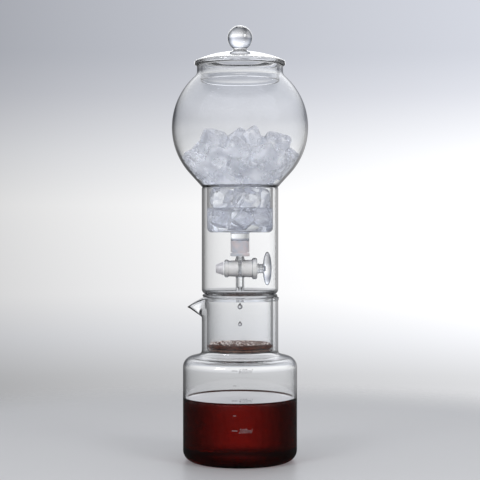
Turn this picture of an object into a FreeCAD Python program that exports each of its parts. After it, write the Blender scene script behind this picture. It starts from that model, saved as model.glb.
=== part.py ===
"""Cold drip coffee tower: a parametric FreeCAD document, in millimetres, +Z up.

The tower is a stack of loose glass pieces on one axis. From the table upwards: a carafe with a
drawn spout, a filter cup with the ground coffee, a tall tube, an ice globe that carries a drip
valve under its reservoir, and a lid with a ball knob. The origin is on the table, on the axis.
The valve's axis is X, with its handle on +X; the carafe's spout points to -X.
"""
import FreeCAD, Part
import math
import operator
import os

import Sketcher

os.makedirs("parts", exist_ok=True)
doc = FreeCAD.newDocument("cold_drip_tower")

# ---------------------------------------------------------------- driving dimensions
# Each one is a spreadsheet cell with an alias. Lengths are in mm and angles in degrees.
DIMENSIONS = {
    # carafe
    "carafe_radius": 52.2,
    "carafe_wall": 2.3,
    "carafe_floor": 4.0,
    "carafe_height": 149.8,
    "foot_round": 10.0,
    "foot_ring_inner": 30.0,
    "foot_hollow": 1.5,
    "shoulder_height": 93.5,
    "shoulder_rise": 4.3,
    "shoulder_round": 10.0,
    "neck_radius": 35.0,
    "neck_root_round": 4.0,
    "carafe_bead": 0.5,
    "carafe_bead_height": 3.0,
    "rim_round": 1.2,
    # the carafe's spout, a beak that tapers to its tip
    "spout_tip_reach": 48.2,
    "spout_tip_height": 140.7,
    "spout_root_reach": 33.0,
    "spout_half_width": 12.0,
    "spout_depth": 20.1,
    "spout_keel_round": 6.0,
    "spout_tip_length": 0.9,
    "spout_wall_inward": 1.4,
    "spout_wall_upward": 2.4,
    # filter cup and what lies in it
    "cup_flange_radius": 34.2,
    "cup_flange": 2.3,
    "cup_radius": 30.4,
    "cup_wall": 2.0,
    "cup_depth": 50.8,
    "cup_round": 4.5,
    "cup_inner_round": 1.2,
    "cup_drain_radius": 19.0,
    "gasket_height": 1.6,
    "gasket_width": 4.2,
    "gasket_groove": 1.6,
    "filter_plate_thick": 0.5,
    "filter_hole_radius": 0.7,
    "filter_hole_pitch": 3.0,
    "paper_thick": 0.2,
    "grounds_depth": 5.0,
    "grounds_crown": 0.6,
    # middle tube
    "tube_radius": 35.0,
    "tube_wall": 2.4,
    "tube_length": 97.5,
    "tube_round": 5.0,
    "spigot_radius": 27.6,
    "spigot_wall": 2.2,
    "spigot_length": 4.8,
    # ice globe
    "glass_wall": 2.0,
    "globe_radius": 62.2,
    "globe_centre": 54.9,
    "globe_cone_angle": 47.8,
    "globe_height": 111.5,
    "globe_neck_radius": 39.3,
    "globe_neck_round": 6.0,
    "reservoir_radius": 30.2,
    "reservoir_depth": 40.9,
    "reservoir_round": 4.5,
    "socket_radius": 8.5,
    "socket_wall": 1.8,
    "socket_length": 18.2,
    # valve, measured from its centre on the tower's axis
    "valve_drop": 74.0,
    "barrel_left": 14.2,
    "barrel_right": 15.6,
    "barrel_left_radius": 6.8,
    "barrel_right_radius": 7.6,
    "bead_left_radius": 8.0,
    "bead_left_width": 3.5,
    "bead_right_radius": 9.6,
    "bead_right_width": 4.3,
    "weld_ring": 0.4,
    "weld_ring_width": 2.6,
    "key_small_radius": 4.6,
    "key_large_radius": 5.8,
    "key_clearance": 0.05,
    "inlet_radius": 3.6,
    "inlet_bore": 2.4,
    "inlet_length": 25.4,
    "outlet_radius": 3.85,
    "outlet_bore": 2.2,
    "outlet_length": 21.6,
    "tip_bore": 1.2,
    "tip_length": 3.2,
    "stub_radius": 3.2,
    "stub_length": 21.2,
    "shaft_radius": 3.9,
    "shaft_bead": 0.45,
    "handle_reach": 25.0,
    "handle_half_width": 4.05,
    "handle_half_length": 15.25,
    "tenon_radius": 2.4,
    "tenon_length": 2.4,
    "washer_thick": 0.8,
    "washer_radius": 6.0,
    "ring_radius": 4.3,
    "ring_section": 0.9,
    "nut_length": 6.9,
    "nut_large_radius": 6.0,
    "nut_small_radius": 3.8,
    "sleeve_flange_radius": 8.9,
    "sleeve_flange": 3.0,
    "sleeve_gap": 0.6,
    "sleeve_depth": 10.5,
    # lid
    "lid_radius": 41.5,
    "lid_edge_round": 1.5,
    "lid_dome_radius": 100.0,
    "skirt_radius": 36.2,
    "skirt_length": 14.5,
    "knob_seat_height": 12.2,
    "knob_foot_radius": 9.4,
    "knob_neck_radius": 6.4,
    "knob_neck_height": 3.5,
    "knob_ball_radius": 11.4,
    # contents
    "coffee_level": 58.5,
    "water_depth": 20.2,
    "ice_edge": 16.0,
    "small_ice_edge": 14.0,
    "ice_chamfer": 2.5,
    # gap left round a liquid or between two pieces that only touch
    "touch_gap": 0.1,
}

sheet = doc.addObject("Spreadsheet::Sheet", "Sizes")
for row, (alias, amount) in enumerate(DIMENSIONS.items(), 1):
    sheet.set(f"A{row}", alias)
    sheet.set(f"B{row}", str(amount))
    sheet.setAlias(f"B{row}", alias)
doc.recompute()


class Size:
    """A number that keeps the spreadsheet formula it was worked out from."""

    def __init__(self, value, formula=None):
        self.value = float(value)
        self.formula = formula or f"({self.value:.6f})"

    def __add__(self, other):
        return combined(self, "+", other)

    def __sub__(self, other):
        return combined(self, "-", other)

    def __mul__(self, other):
        return combined(self, "*", other)

    def __truediv__(self, other):
        return combined(self, "/", other)

    def __radd__(self, other):
        return combined(other, "+", self)

    def __rsub__(self, other):
        return combined(other, "-", self)

    def __rmul__(self, other):
        return combined(other, "*", self)

    def __neg__(self):
        return combined(0, "-", self)


def as_size(amount):
    return amount if isinstance(amount, Size) else Size(amount)


def combined(left, sign, right):
    left = as_size(left)
    right = as_size(right)
    work = {"+": operator.add, "-": operator.sub, "*": operator.mul, "/": operator.truediv}[sign]
    return Size(work(left.value, right.value), f"({left.formula} {sign} {right.formula})")


def cosine(angle):
    return Size(math.cos(math.radians(angle.value)), f"cos({angle.formula})")


def sine(angle):
    return Size(math.sin(math.radians(angle.value)), f"sin({angle.formula})")


def other_leg(hypotenuse, leg):
    """The other leg of a right-angled triangle."""
    square = hypotenuse * hypotenuse - leg * leg
    return Size(math.sqrt(square.value), f"sqrt({square.formula})")


size = {alias: Size(amount, f"Sizes.{alias}") for alias, amount in DIMENSIONS.items()}

# Heights of the seats that the stacked pieces rest on, above the table.
cup_seat = size["carafe_height"]
tube_seat = cup_seat + size["cup_flange"]
globe_seat = tube_seat + size["tube_length"]
lid_seat = globe_seat + size["globe_height"]
valve_height = globe_seat - size["valve_drop"]


# ---------------------------------------------------------------- drawing helpers
def bind(item, path, amount):
    """Bind a property of a document object to the spreadsheet."""
    item.setExpression(path, as_size(amount).formula)


def new_body(label, lift=0):
    """A PartDesign body whose own frame stands on the tower's axis, this far above the table."""
    body = doc.addObject("PartDesign::Body", label)
    body.Label = label
    bind(body, "Placement.Base.z", lift)
    return body


def new_sketch(body, plane="XZ_Plane", offset=None):
    """An empty sketch on one of the body's origin planes, or at an offset along its normal."""
    sketch = body.newObject("Sketcher::SketchObject", body.Name + "_sketch")
    support = next(item for item in body.Origin.OriginFeatures if item.Role == plane)
    sketch.AttachmentSupport = [(support, "")]
    sketch.MapMode = "FlatFace"
    if offset is not None:
        bind(sketch, "AttachmentOffset.Base.z", offset)
    return sketch


def pin(sketch, edge, end, across, up):
    """Hold one end of an edge at a place that the spreadsheet gives."""
    for kind, amount, axis in (("DistanceX", across, -2), ("DistanceY", up, -1)):
        amount = as_size(amount)
        if abs(amount.value) < 1e-9:
            sketch.addConstraint(Sketcher.Constraint("PointOnObject", edge, end, axis))
            continue
        number = sketch.addConstraint(Sketcher.Constraint(kind, edge, end, amount.value))
        sketch.setExpression(f"Constraints[{number}]", amount.formula)


def arc_between(start, finish, radius):
    """The shorter arc from start to finish; a positive radius turns it to the left."""
    chord = finish - start
    left = FreeCAD.Vector(-chord.y, chord.x, 0).normalize()
    height = math.sqrt(radius ** 2 - (chord.Length / 2) ** 2)
    centre = (start + finish) * 0.5 + left * math.copysign(height, radius)
    first, last = (start, finish) if radius > 0 else (finish, start)
    angles = [math.atan2(point.y - centre.y, point.x - centre.x) for point in (first, last)]
    if angles[1] < angles[0]:
        angles[1] += 2 * math.pi
    circle = Part.Circle(centre, FreeCAD.Vector(0, 0, 1), abs(radius))
    return Part.ArcOfCircle(circle, angles[0], angles[1])


def draw(sketch, corners):
    """Close an outline through corners (across, up) or (across, up, radius of the arc that follows)."""
    places = [FreeCAD.Vector(as_size(c[0]).value, as_size(c[1]).value, 0) for c in corners]
    ends = []
    for index, corner in enumerate(corners):
        start = places[index]
        finish = places[(index + 1) % len(places)]
        if len(corner) == 2:
            edge = sketch.addGeometry(Part.LineSegment(start, finish), False)
            ends.append((edge, 1, 2))
            continue
        bend = as_size(corner[2])
        edge = sketch.addGeometry(arc_between(start, finish, bend.value), False)
        ends.append((edge, 1, 2) if bend.value > 0 else (edge, 2, 1))
        number = sketch.addConstraint(Sketcher.Constraint("Radius", edge, abs(bend.value)))
        sketch.setExpression(f"Constraints[{number}]", f"abs({bend.formula})")
    for index, (edge, start, finish) in enumerate(ends):
        following, its_start, _ = ends[(index + 1) % len(ends)]
        sketch.addConstraint(Sketcher.Constraint("Coincident", edge, finish, following, its_start))
        pin(sketch, edge, start, corners[index][0], corners[index][1])


def turned(body, corners, axis="V_Axis", kind="Revolution"):
    """Turn an outline in the XZ plane about the tower's axis (V_Axis) or the valve's (H_Axis)."""
    sketch = new_sketch(body)
    draw(sketch, corners)
    feature = body.newObject(f"PartDesign::{kind}", f"{body.Name}_{kind.lower()}")
    feature.Profile = sketch
    feature.ReferenceAxis = (sketch, [axis])
    feature.Angle = 360
    doc.recompute()
    return feature


def rounded(body, radius, *corners, about="V_Axis"):
    """Fillet the circular edges that pass through these corners of a turned outline."""
    base = body.Tip
    names = []
    for across, up in corners:
        across = as_size(across).value
        up = as_size(up).value
        for number, edge in enumerate(base.Shape.Edges, 1):
            if edge.Degenerated or not isinstance(edge.Curve, Part.Circle):
                continue
            centre = edge.Curve.Center
            place = (edge.Curve.Radius, centre.z) if about == "V_Axis" else (centre.x, edge.Curve.Radius)
            if math.dist(place, (across, up)) < 0.01:
                names.append(f"Edge{number}")
    if len(names) < len(corners):
        raise RuntimeError(f"{body.Label}: a corner to round wasn't found")
    feature = body.newObject("PartDesign::Fillet", f"{body.Name}_round")
    feature.Base = (base, names)
    bind(feature, "Radius", radius)
    doc.recompute()
    return feature


def circles(sketch, *radii):
    """Circles about the sketch's origin."""
    for radius in radii:
        circle = Part.Circle(FreeCAD.Vector(0, 0, 0), FreeCAD.Vector(0, 0, 1), radius.value)
        edge = sketch.addGeometry(circle, False)
        sketch.addConstraint(Sketcher.Constraint("Coincident", edge, 3, -1, 1))
        number = sketch.addConstraint(Sketcher.Constraint("Radius", edge, radius.value))
        sketch.setExpression(f"Constraints[{number}]", radius.formula)


def padded_disc(body, length, *radii, plane="XY_Plane"):
    """A disc, or a ring between two radii, of this thickness."""
    sketch = new_sketch(body, plane)
    circles(sketch, *radii)
    pad = body.newObject("PartDesign::Pad", f"{body.Name}_pad")
    pad.Profile = sketch
    bind(pad, "Length", length)
    doc.recompute()
    return pad


# ---------------------------------------------------------------- carafe
def spout_section(body, distance, inward, upward):
    """One V section with a round keel, across the spout, this far from the tip of the beak.

    The beak is a cone from its tip, so every section is the root section made smaller.
    """
    share = distance / (size["spout_tip_reach"] - size["spout_root_reach"])
    rise = size["carafe_height"] - size["spout_tip_height"]
    half_width = size["spout_half_width"] * share
    top = size["spout_tip_height"] + upward + rise * share
    keel_round = size["spout_keel_round"] * share
    keel_centre = top - (size["spout_depth"] - size["spout_keel_round"]) * share
    sketch = new_sketch(body, "YZ_Plane", distance + inward - size["spout_tip_reach"])
    # Where the straight side meets the keel's circle, seen from the lip of the spout.
    reach = math.hypot(half_width.value, (top - keel_centre).value)
    lean = math.atan2(half_width.value, (top - keel_centre).value)
    turn = lean + math.acos(keel_round.value / reach)
    side = FreeCAD.Vector(math.sin(turn), math.cos(turn), 0) * keel_round.value
    touch = [FreeCAD.Vector(0, keel_centre.value, 0) + FreeCAD.Vector(sign * side.x, side.y, 0)
             for sign in (-1, 1)]
    lips = [FreeCAD.Vector(sign * half_width.value, top.value, 0) for sign in (-1, 1)]
    left = sketch.addGeometry(Part.LineSegment(lips[0], touch[0]), False)
    keel = sketch.addGeometry(arc_between(touch[0], touch[1], keel_round.value), False)
    right = sketch.addGeometry(Part.LineSegment(touch[1], lips[1]), False)
    mouth = sketch.addGeometry(Part.LineSegment(lips[1], lips[0]), False)
    sketch.addConstraint(Sketcher.Constraint("Tangent", left, 2, keel, 1))
    sketch.addConstraint(Sketcher.Constraint("Tangent", keel, 2, right, 1))
    sketch.addConstraint(Sketcher.Constraint("Coincident", right, 2, mouth, 1))
    sketch.addConstraint(Sketcher.Constraint("Coincident", mouth, 2, left, 1))
    pin(sketch, left, 1, -half_width, top)
    pin(sketch, right, 2, half_width, top)
    pin(sketch, keel, 3, 0, keel_centre)
    number = sketch.addConstraint(Sketcher.Constraint("Radius", keel, keel_round.value))
    sketch.setExpression(f"Constraints[{number}]", keel_round.formula)
    return sketch


def spout_loft(body, kind, start, finish, inward=0, upward=0):
    """Add or cut the beak between two distances from its tip."""
    sections = [spout_section(body, distance, inward, upward) for distance in (start, finish)]
    feature = body.newObject(f"PartDesign::{kind}", f"{body.Name}_{kind.lower()}")
    feature.Profile = sections[0]
    feature.Sections = sections[1:]
    feature.Ruled = True
    doc.recompute()
    return feature


def make_carafe():
    """Blown vessel: foot with a hollow, straight wall, sloping shoulder, beaded neck, drawn beak."""
    body = new_body("carafe")
    radius = size["carafe_radius"]
    wall = size["carafe_wall"]
    neck = size["neck_radius"]
    top = size["carafe_height"]
    bead = neck + size["carafe_bead"]
    bead_foot = top - size["carafe_bead_height"]
    shoulder = size["shoulder_height"]
    shoulder_top = shoulder + size["shoulder_rise"]
    hollow = size["foot_ring_inner"] - size["foot_hollow"]
    turned(body, [
        (0, size["foot_hollow"]),
        (hollow, size["foot_hollow"]),
        (size["foot_ring_inner"], 0),
        (radius, 0),
        (radius, shoulder),
        (neck, shoulder_top),
        (neck, bead_foot),
        (bead, bead_foot),
        (bead, top),
        (0, top),
    ])
    rounded(body, size["foot_round"], (radius, 0))
    rounded(body, size["shoulder_round"], (radius, shoulder))
    rounded(body, size["neck_root_round"], (neck, shoulder_top))
    rounded(body, size["rim_round"], (bead, top))
    rounded(body, size["carafe_bead"] * 0.8, (bead, bead_foot))
    root = size["spout_tip_reach"] - size["spout_root_reach"]
    spout_loft(body, "AdditiveLoft", size["spout_tip_length"], root)
    turned(body, [
        (0, size["carafe_floor"]),
        (radius - wall, size["carafe_floor"]),
        (radius - wall, shoulder - wall),
        (neck - wall, shoulder_top - wall),
        (neck - wall, top + wall),
        (0, top + wall),
    ], kind="Groove")
    rounded(body, size["foot_round"] - wall, (radius - wall, size["carafe_floor"]))
    rounded(body, size["shoulder_round"] - wall, (radius - wall, shoulder - wall))
    rounded(body, size["neck_root_round"] + wall, (neck - wall, shoulder_top - wall))
    spout_loft(body, "SubtractiveLoft", size["spout_tip_length"], root + wall,
               size["spout_wall_inward"], size["spout_wall_upward"])
    return body


def make_brewed_coffee():
    """The coffee in the carafe, up to its level."""
    body = new_body("brewed_coffee")
    radius = size["carafe_radius"] - size["carafe_wall"] - size["touch_gap"]
    floor = size["carafe_floor"] + size["touch_gap"]
    turned(body, [(0, floor), (radius, floor), (radius, size["coffee_level"]), (0, size["coffee_level"])])
    rounded(body, size["foot_round"] - size["carafe_wall"], (radius, floor))
    return body


# ---------------------------------------------------------------- filter cup
cup_floor = size["cup_wall"] - size["cup_depth"]
cup_bore = size["cup_radius"] - size["cup_wall"]
gasket_radius = cup_bore - size["key_clearance"]
gasket_bore = gasket_radius - size["gasket_width"]
plate_radius = gasket_bore + size["gasket_groove"]


def make_filter_cup():
    """Flanged glass cup that hangs in the carafe's neck, with a drain hole in its floor."""
    body = new_body("filter_cup", cup_seat)
    bottom = -size["cup_depth"]
    radius = size["cup_radius"]
    drain = size["cup_drain_radius"]
    turned(body, [
        (drain, bottom),
        (radius, bottom),
        (radius, 0),
        (size["cup_flange_radius"], 0),
        (size["cup_flange_radius"], size["cup_flange"]),
        (cup_bore, size["cup_flange"]),
        (cup_bore, cup_floor),
        (drain, cup_floor),
    ])
    rounded(body, size["cup_round"], (radius, bottom))
    rounded(body, size["cup_inner_round"], (cup_bore, cup_floor), (radius, 0))
    rounded(body, size["cup_wall"] * 0.4, (drain, bottom), (drain, cup_floor), (cup_bore, size["cup_flange"]))
    return body


def make_filter_gasket():
    """Silicone ring on the cup's floor, with a groove that holds the filter plate."""
    body = new_body("filter_gasket", cup_seat + cup_floor)
    height = size["gasket_height"]
    groove_low = (height - size["filter_plate_thick"]) / 2 - size["key_clearance"]
    groove_high = height - groove_low
    groove_radius = plate_radius + size["key_clearance"]
    turned(body, [
        (gasket_bore, 0),
        (gasket_radius, 0),
        (gasket_radius, height),
        (gasket_bore, height),
        (gasket_bore, groove_high),
        (groove_radius, groove_high),
        (groove_radius, groove_low),
        (gasket_bore, groove_low),
    ])
    rounded(body, size["cup_inner_round"], (gasket_radius, 0))
    return body


def make_filter_plate():
    """Thin steel disc with rings of holes round a middle one."""
    lift = (size["gasket_height"] - size["filter_plate_thick"]) / 2
    body = new_body("filter_plate", cup_seat + cup_floor + lift)
    padded_disc(body, size["filter_plate_thick"], plate_radius)
    rings = int((gasket_bore.value - DIMENSIONS["filter_hole_radius"]) / DIMENSIONS["filter_hole_pitch"])
    axis = next(item for item in body.Origin.OriginFeatures if item.Role == "Z_Axis")
    for ring in range(rings + 1):
        sketch = new_sketch(body, "XY_Plane")
        radius = size["filter_hole_radius"]
        away = size["filter_hole_pitch"] * ring
        hole = Part.Circle(FreeCAD.Vector(away.value, 0, 0), FreeCAD.Vector(0, 0, 1), radius.value)
        edge = sketch.addGeometry(hole, False)
        pin(sketch, edge, 3, away, 0)
        number = sketch.addConstraint(Sketcher.Constraint("Radius", edge, radius.value))
        sketch.setExpression(f"Constraints[{number}]", radius.formula)
        pocket = body.newObject("PartDesign::Pocket", f"{body.Name}_hole")
        pocket.Profile = sketch
        pocket.Type = "ThroughAll"
        pocket.Reversed = True
        doc.recompute()
        if ring == 0:
            continue
        pattern = body.newObject("PartDesign::PolarPattern", f"{body.Name}_ring")
        pattern.Originals = [pocket]
        pattern.Axis = (axis, [""])
        pattern.Angle = 360
        pattern.Occurrences = 6 * ring
        body.Tip = pattern
        doc.recompute()
    return body


def make_paper_filter():
    """Round filter paper on the gasket, under the ground coffee."""
    disc = doc.addObject("Part::Cylinder", "paper_filter")
    disc.Label = "paper_filter"
    bind(disc, "Radius", gasket_radius - size["paper_thick"])
    bind(disc, "Height", size["paper_thick"])
    bind(disc, "Placement.Base.z", cup_seat + cup_floor + size["gasket_height"])
    return disc


def make_coffee_grounds():
    """Bed of ground coffee, a little higher in the middle."""
    lift = cup_seat + cup_floor + size["gasket_height"] + size["paper_thick"]
    body = new_body("coffee_grounds", lift)
    radius = cup_bore - size["touch_gap"]
    crown = size["grounds_crown"]
    crown_radius = (radius * radius + crown * crown) / (crown * 2)
    turned(body, [
        (0, 0),
        (radius, 0),
        (radius, size["grounds_depth"], crown_radius),
        (0, size["grounds_depth"] + crown),
    ])
    return body


# ---------------------------------------------------------------- middle tube
def make_tower_tube():
    """Glass tube with an inturned foot, whose spigot drops into the filter cup."""
    body = new_body("tower_tube", tube_seat)
    radius = size["tube_radius"]
    bore = radius - size["tube_wall"]
    top = size["tube_length"]
    ledge = size["tube_wall"]
    spigot = size["spigot_radius"]
    spigot_bore = spigot - size["spigot_wall"]
    turned(body, [
        (spigot_bore, -size["spigot_length"]),
        (spigot, -size["spigot_length"]),
        (spigot, 0),
        (radius, 0),
        (radius, top),
        (bore, top),
        (bore, ledge),
        (spigot_bore, ledge),
    ])
    rounded(body, size["tube_round"], (radius, 0))
    rounded(body, size["tube_round"] - size["tube_wall"], (bore, ledge))
    rounded(body, size["tube_wall"] * 0.4, (radius, top), (bore, top), (spigot_bore, ledge))
    rounded(body, size["spigot_wall"] * 0.4, (spigot, -size["spigot_length"]),
            (spigot_bore, -size["spigot_length"]))
    return body


# ---------------------------------------------------------------- ice globe
def globe_skin(offset):
    """Corners of the globe's wall from its seat to its neck, this far inside the outer skin.

    The wall is a cone that runs up into a ball and touches it, and a neck on top.
    """
    angle = size["globe_cone_angle"]
    ball = size["globe_radius"] - offset
    centre = size["globe_centre"]
    neck = size["globe_neck_radius"] - offset
    foot_height = offset
    foot = (ball - (centre - foot_height) * cosine(angle)) / sine(angle)
    return {
        "foot": (foot, foot_height),
        "touch": (ball * sine(angle), centre - ball * cosine(angle)),
        "neck": (neck, centre + other_leg(ball, neck)),
        "rim": (neck, size["globe_height"]),
        "ball": ball,
    }


reservoir_bore = size["reservoir_radius"] - size["glass_wall"]
reservoir_floor = size["glass_wall"] - size["reservoir_depth"]
socket_bore = size["socket_radius"] - size["socket_wall"]
socket_end = -(size["reservoir_depth"] + size["socket_length"])


def make_ice_globe():
    """Blown ball with a wide neck; it stands on the tube with the flat ring under its cone."""
    body = new_body("ice_globe", globe_seat)
    wall = size["glass_wall"]
    outer = globe_skin(Size(0))
    inner = globe_skin(wall)
    turned(body, [
        (reservoir_bore, 0),
        outer["foot"],
        (*outer["touch"], outer["ball"]),
        outer["neck"],
        outer["rim"],
        inner["rim"],
        (*inner["neck"], -inner["ball"]),
        inner["touch"],
        inner["foot"],
        (reservoir_bore, wall),
    ])
    rounded(body, size["globe_neck_round"], outer["neck"])
    rounded(body, size["globe_neck_round"] + wall, inner["neck"])
    rounded(body, wall * 0.6, (reservoir_bore, wall))
    rounded(body, wall * 0.45, outer["rim"], inner["rim"])
    return body


def make_globe_reservoir():
    """Cup fused under the ball's ring, with a hole in its floor for the valve's socket."""
    body = new_body("globe_reservoir", globe_seat)
    wall = size["glass_wall"]
    bottom = -size["reservoir_depth"]
    reservoir = size["reservoir_radius"]
    socket = size["socket_radius"]
    flare = wall * 0.6
    turned(body, [
        (socket, bottom),
        (reservoir, bottom),
        (reservoir, -flare, -flare),
        (reservoir + flare, 0),
        (reservoir_bore, 0),
        (reservoir_bore, reservoir_floor),
        (socket, reservoir_floor),
    ])
    rounded(body, size["reservoir_round"], (reservoir, bottom))
    rounded(body, size["reservoir_round"] - wall, (reservoir_bore, reservoir_floor))
    return body


def make_valve_socket():
    """Short tube fused into the reservoir's floor, which holds the valve's sleeve."""
    body = new_body("valve_socket", globe_seat)
    bottom = -size["reservoir_depth"]
    socket = size["socket_radius"]
    flare = size["glass_wall"] * 0.6
    turned(body, [
        (socket_bore, socket_end),
        (socket, socket_end),
        (socket, bottom - flare, -flare),
        (socket + flare, bottom),
        (socket, bottom),
        (socket, reservoir_floor),
        (socket_bore, reservoir_floor),
    ])
    rounded(body, flare, (socket_bore, reservoir_floor))
    return body


def make_valve_sleeve():
    """Silicone sleeve that seals the valve's inlet stem in the globe's socket."""
    body = new_body("valve_sleeve", globe_seat + socket_end)
    bore = size["inlet_radius"] + size["key_clearance"]
    plug = socket_bore - size["key_clearance"]
    flange_top = -size["sleeve_gap"]
    flange_low = flange_top - size["sleeve_flange"]
    flange = size["sleeve_flange_radius"]
    turned(body, [
        (bore, flange_low),
        (flange, flange_low),
        (flange, flange_top),
        (plug, flange_top),
        (plug, size["sleeve_depth"]),
        (bore, size["sleeve_depth"]),
    ])
    rounded(body, size["sleeve_flange"] * 0.3, (flange, flange_low), (flange, flange_top))
    return body


# ---------------------------------------------------------------- valve
key_taper = size["key_large_radius"] - size["key_small_radius"]
key_slope = key_taper / (size["barrel_left"] + size["barrel_right"])


def key_radius(along, gap=0):
    """Radius of the valve's tapered seat at a place along its axis, less a running gap."""
    return size["key_small_radius"] + key_slope * (size["barrel_left"] + along) - gap


def make_valve_barrel():
    """Glass barrel across the tower's axis, with a bead at each end and a stem up and down."""
    body = new_body("valve_barrel", valve_height)
    left = -size["barrel_left"]
    right = size["barrel_right"]
    neck_left = left + size["bead_left_width"]
    neck_right = right - size["bead_right_width"]
    radius_left = size["barrel_left_radius"]
    radius_right = size["barrel_right_radius"]
    bead_left = size["bead_left_radius"]
    bead_right = size["bead_right_radius"]
    middle = (radius_left + radius_right) / 2
    ring = middle + size["weld_ring"]
    ring_half = size["weld_ring_width"] / 2
    turned(body, [
        (left, 0),
        (left, bead_left),
        (neck_left, bead_left),
        (neck_left, radius_left),
        (-ring_half, middle),
        (-ring_half, ring),
        (ring_half, ring),
        (ring_half, middle),
        (neck_right, radius_right),
        (neck_right, bead_right),
        (right, bead_right),
        (right, 0),
    ], axis="H_Axis")
    rounded(body, size["bead_left_width"] * 0.32, (left, bead_left), (neck_left, bead_left), about="H_Axis")
    rounded(body, size["bead_right_width"] * 0.35, (neck_right, bead_right), (right, bead_right),
            about="H_Axis")
    inlet = size["inlet_radius"]
    outlet = size["outlet_radius"]
    inlet_top = size["inlet_length"]
    outlet_end = -size["outlet_length"]
    turned(body, [
        (0, radius_left / 2),
        (radius_left - 1, radius_left / 2),
        (radius_left - 1, radius_left - 0.6),
        (inlet, radius_left + inlet),
        (inlet, inlet_top),
        (0, inlet_top),
    ])
    turned(body, [
        (0, outlet_end),
        (outlet, outlet_end),
        (outlet, -(radius_left + 1)),
        (outlet + 0.7, -radius_left / 2),
        (0, -radius_left / 2),
    ])
    rounded(body, size["tip_length"] * 0.4, (outlet, outlet_end))
    turned(body, [
        (left - 1, 0),
        (left - 1, key_radius(left - 1)),
        (right + 1, key_radius(right + 1)),
        (right + 1, 0),
    ], axis="H_Axis", kind="Groove")
    tip = outlet_end + size["tip_length"]
    turned(body, [
        (0, outlet_end - 1),
        (size["tip_bore"], outlet_end - 1),
        (size["tip_bore"], tip),
        (size["outlet_bore"], tip + 1),
        (size["outlet_bore"], 0),
        (size["inlet_bore"], 0),
        (size["inlet_bore"], inlet_top + 1),
        (0, inlet_top + 1),
    ], kind="Groove")
    return body


def make_valve_plug():
    """Ground glass key with a cross bore; a threaded stub at its small end, a beaded shaft at its large."""
    body = new_body("valve_plug", valve_height)
    gap = size["key_clearance"]
    stub = size["stub_radius"]
    small_end = 0.3 - size["barrel_left"]
    large_end = size["barrel_right"] + 0.3
    shoulder = size["shaft_radius"] + 2.7
    shaft_start = large_end + 1.7
    shaft_end = size["handle_reach"] - size["handle_half_width"] + 0.4
    shaft = size["shaft_radius"]
    bead = shaft + size["shaft_bead"]
    bead_step = (shaft_end - shaft_start) / 4
    beads = []
    for step in range(4):
        radius = bead if step % 2 else shaft
        beads.append((shaft_start + bead_step * step, radius))
        beads.append((shaft_start + bead_step * (step + 1), radius))
    turned(body, [
        (-size["stub_length"], 0),
        (-size["stub_length"], stub),
        (small_end, stub),
        (small_end, key_radius(small_end, gap)),
        (large_end, key_radius(large_end, gap)),
        (large_end, shoulder),
        *beads,
        (shaft_end, size["tenon_radius"]),
        (shaft_end + size["tenon_length"], size["tenon_radius"]),
        (shaft_end + size["tenon_length"], 0),
    ], axis="H_Axis")
    bore = size["inlet_bore"]
    turned(body, [
        (0, -size["bead_left_radius"]),
        (bore, -size["bead_left_radius"]),
        (bore, size["bead_left_radius"]),
        (0, size["bead_left_radius"]),
    ], kind="Groove")
    return body


def make_valve_handle():
    """Spindle of solid glass across the end of the key, upright when the valve is open."""
    spindle = doc.addObject("Part::Ellipsoid", "handle_spindle")
    bind(spindle, "Radius1", size["handle_half_length"])
    bind(spindle, "Radius2", size["handle_half_width"])
    bind(spindle, "Radius3", size["handle_half_width"])
    bind(spindle, "Placement.Base.x", size["handle_reach"])
    hole = doc.addObject("Part::Cylinder", "handle_socket")
    hole.Placement.Rotation = FreeCAD.Rotation(FreeCAD.Vector(0, 1, 0), 90)
    start = size["handle_reach"] - size["handle_half_width"] - 1
    bind(hole, "Radius", size["tenon_radius"] + size["key_clearance"])
    bind(hole, "Height", size["tenon_length"] + size["key_clearance"] + 1.4)
    bind(hole, "Placement.Base.x", start)
    shaft_seat = doc.addObject("Part::Cylinder", "handle_seat")
    shaft_seat.Placement.Rotation = FreeCAD.Rotation(FreeCAD.Vector(0, 1, 0), 90)
    bind(shaft_seat, "Radius", size["shaft_radius"] + size["shaft_bead"] + size["key_clearance"])
    bind(shaft_seat, "Height", 1.4)
    bind(shaft_seat, "Placement.Base.x", start)
    socket = doc.addObject("Part::Fuse", "handle_recess")
    socket.Base = hole
    socket.Tool = shaft_seat
    handle = doc.addObject("Part::Cut", "valve_handle")
    handle.Base = spindle
    handle.Tool = socket
    handle.Label = "valve_handle"
    bind(handle, "Placement.Base.z", valve_height)
    return handle


washer_end = -(size["barrel_left"] + size["touch_gap"] + size["washer_thick"])


def make_plug_washer():
    """Slippery washer between the turning nut and the barrel's small end."""
    body = new_body("plug_washer", valve_height)
    bore = size["stub_radius"] + size["key_clearance"]
    padded_disc(body, size["washer_thick"], size["washer_radius"], bore, plane="YZ_Plane")
    bind(body, "Placement.Base.x", washer_end)
    return body


def make_plug_o_ring():
    """Rubber ring in the nut's recess, which keeps the key pulled into its seat."""
    ring = doc.addObject("Part::Torus", "plug_o_ring")
    ring.Label = "plug_o_ring"
    bind(ring, "Radius1", size["ring_radius"])
    bind(ring, "Radius2", size["ring_section"])
    ring.Placement.Rotation = FreeCAD.Rotation(FreeCAD.Vector(0, 1, 0), 90)
    bind(ring, "Placement.Base.x", washer_end - size["ring_section"])
    bind(ring, "Placement.Base.z", valve_height)
    return ring


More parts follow.
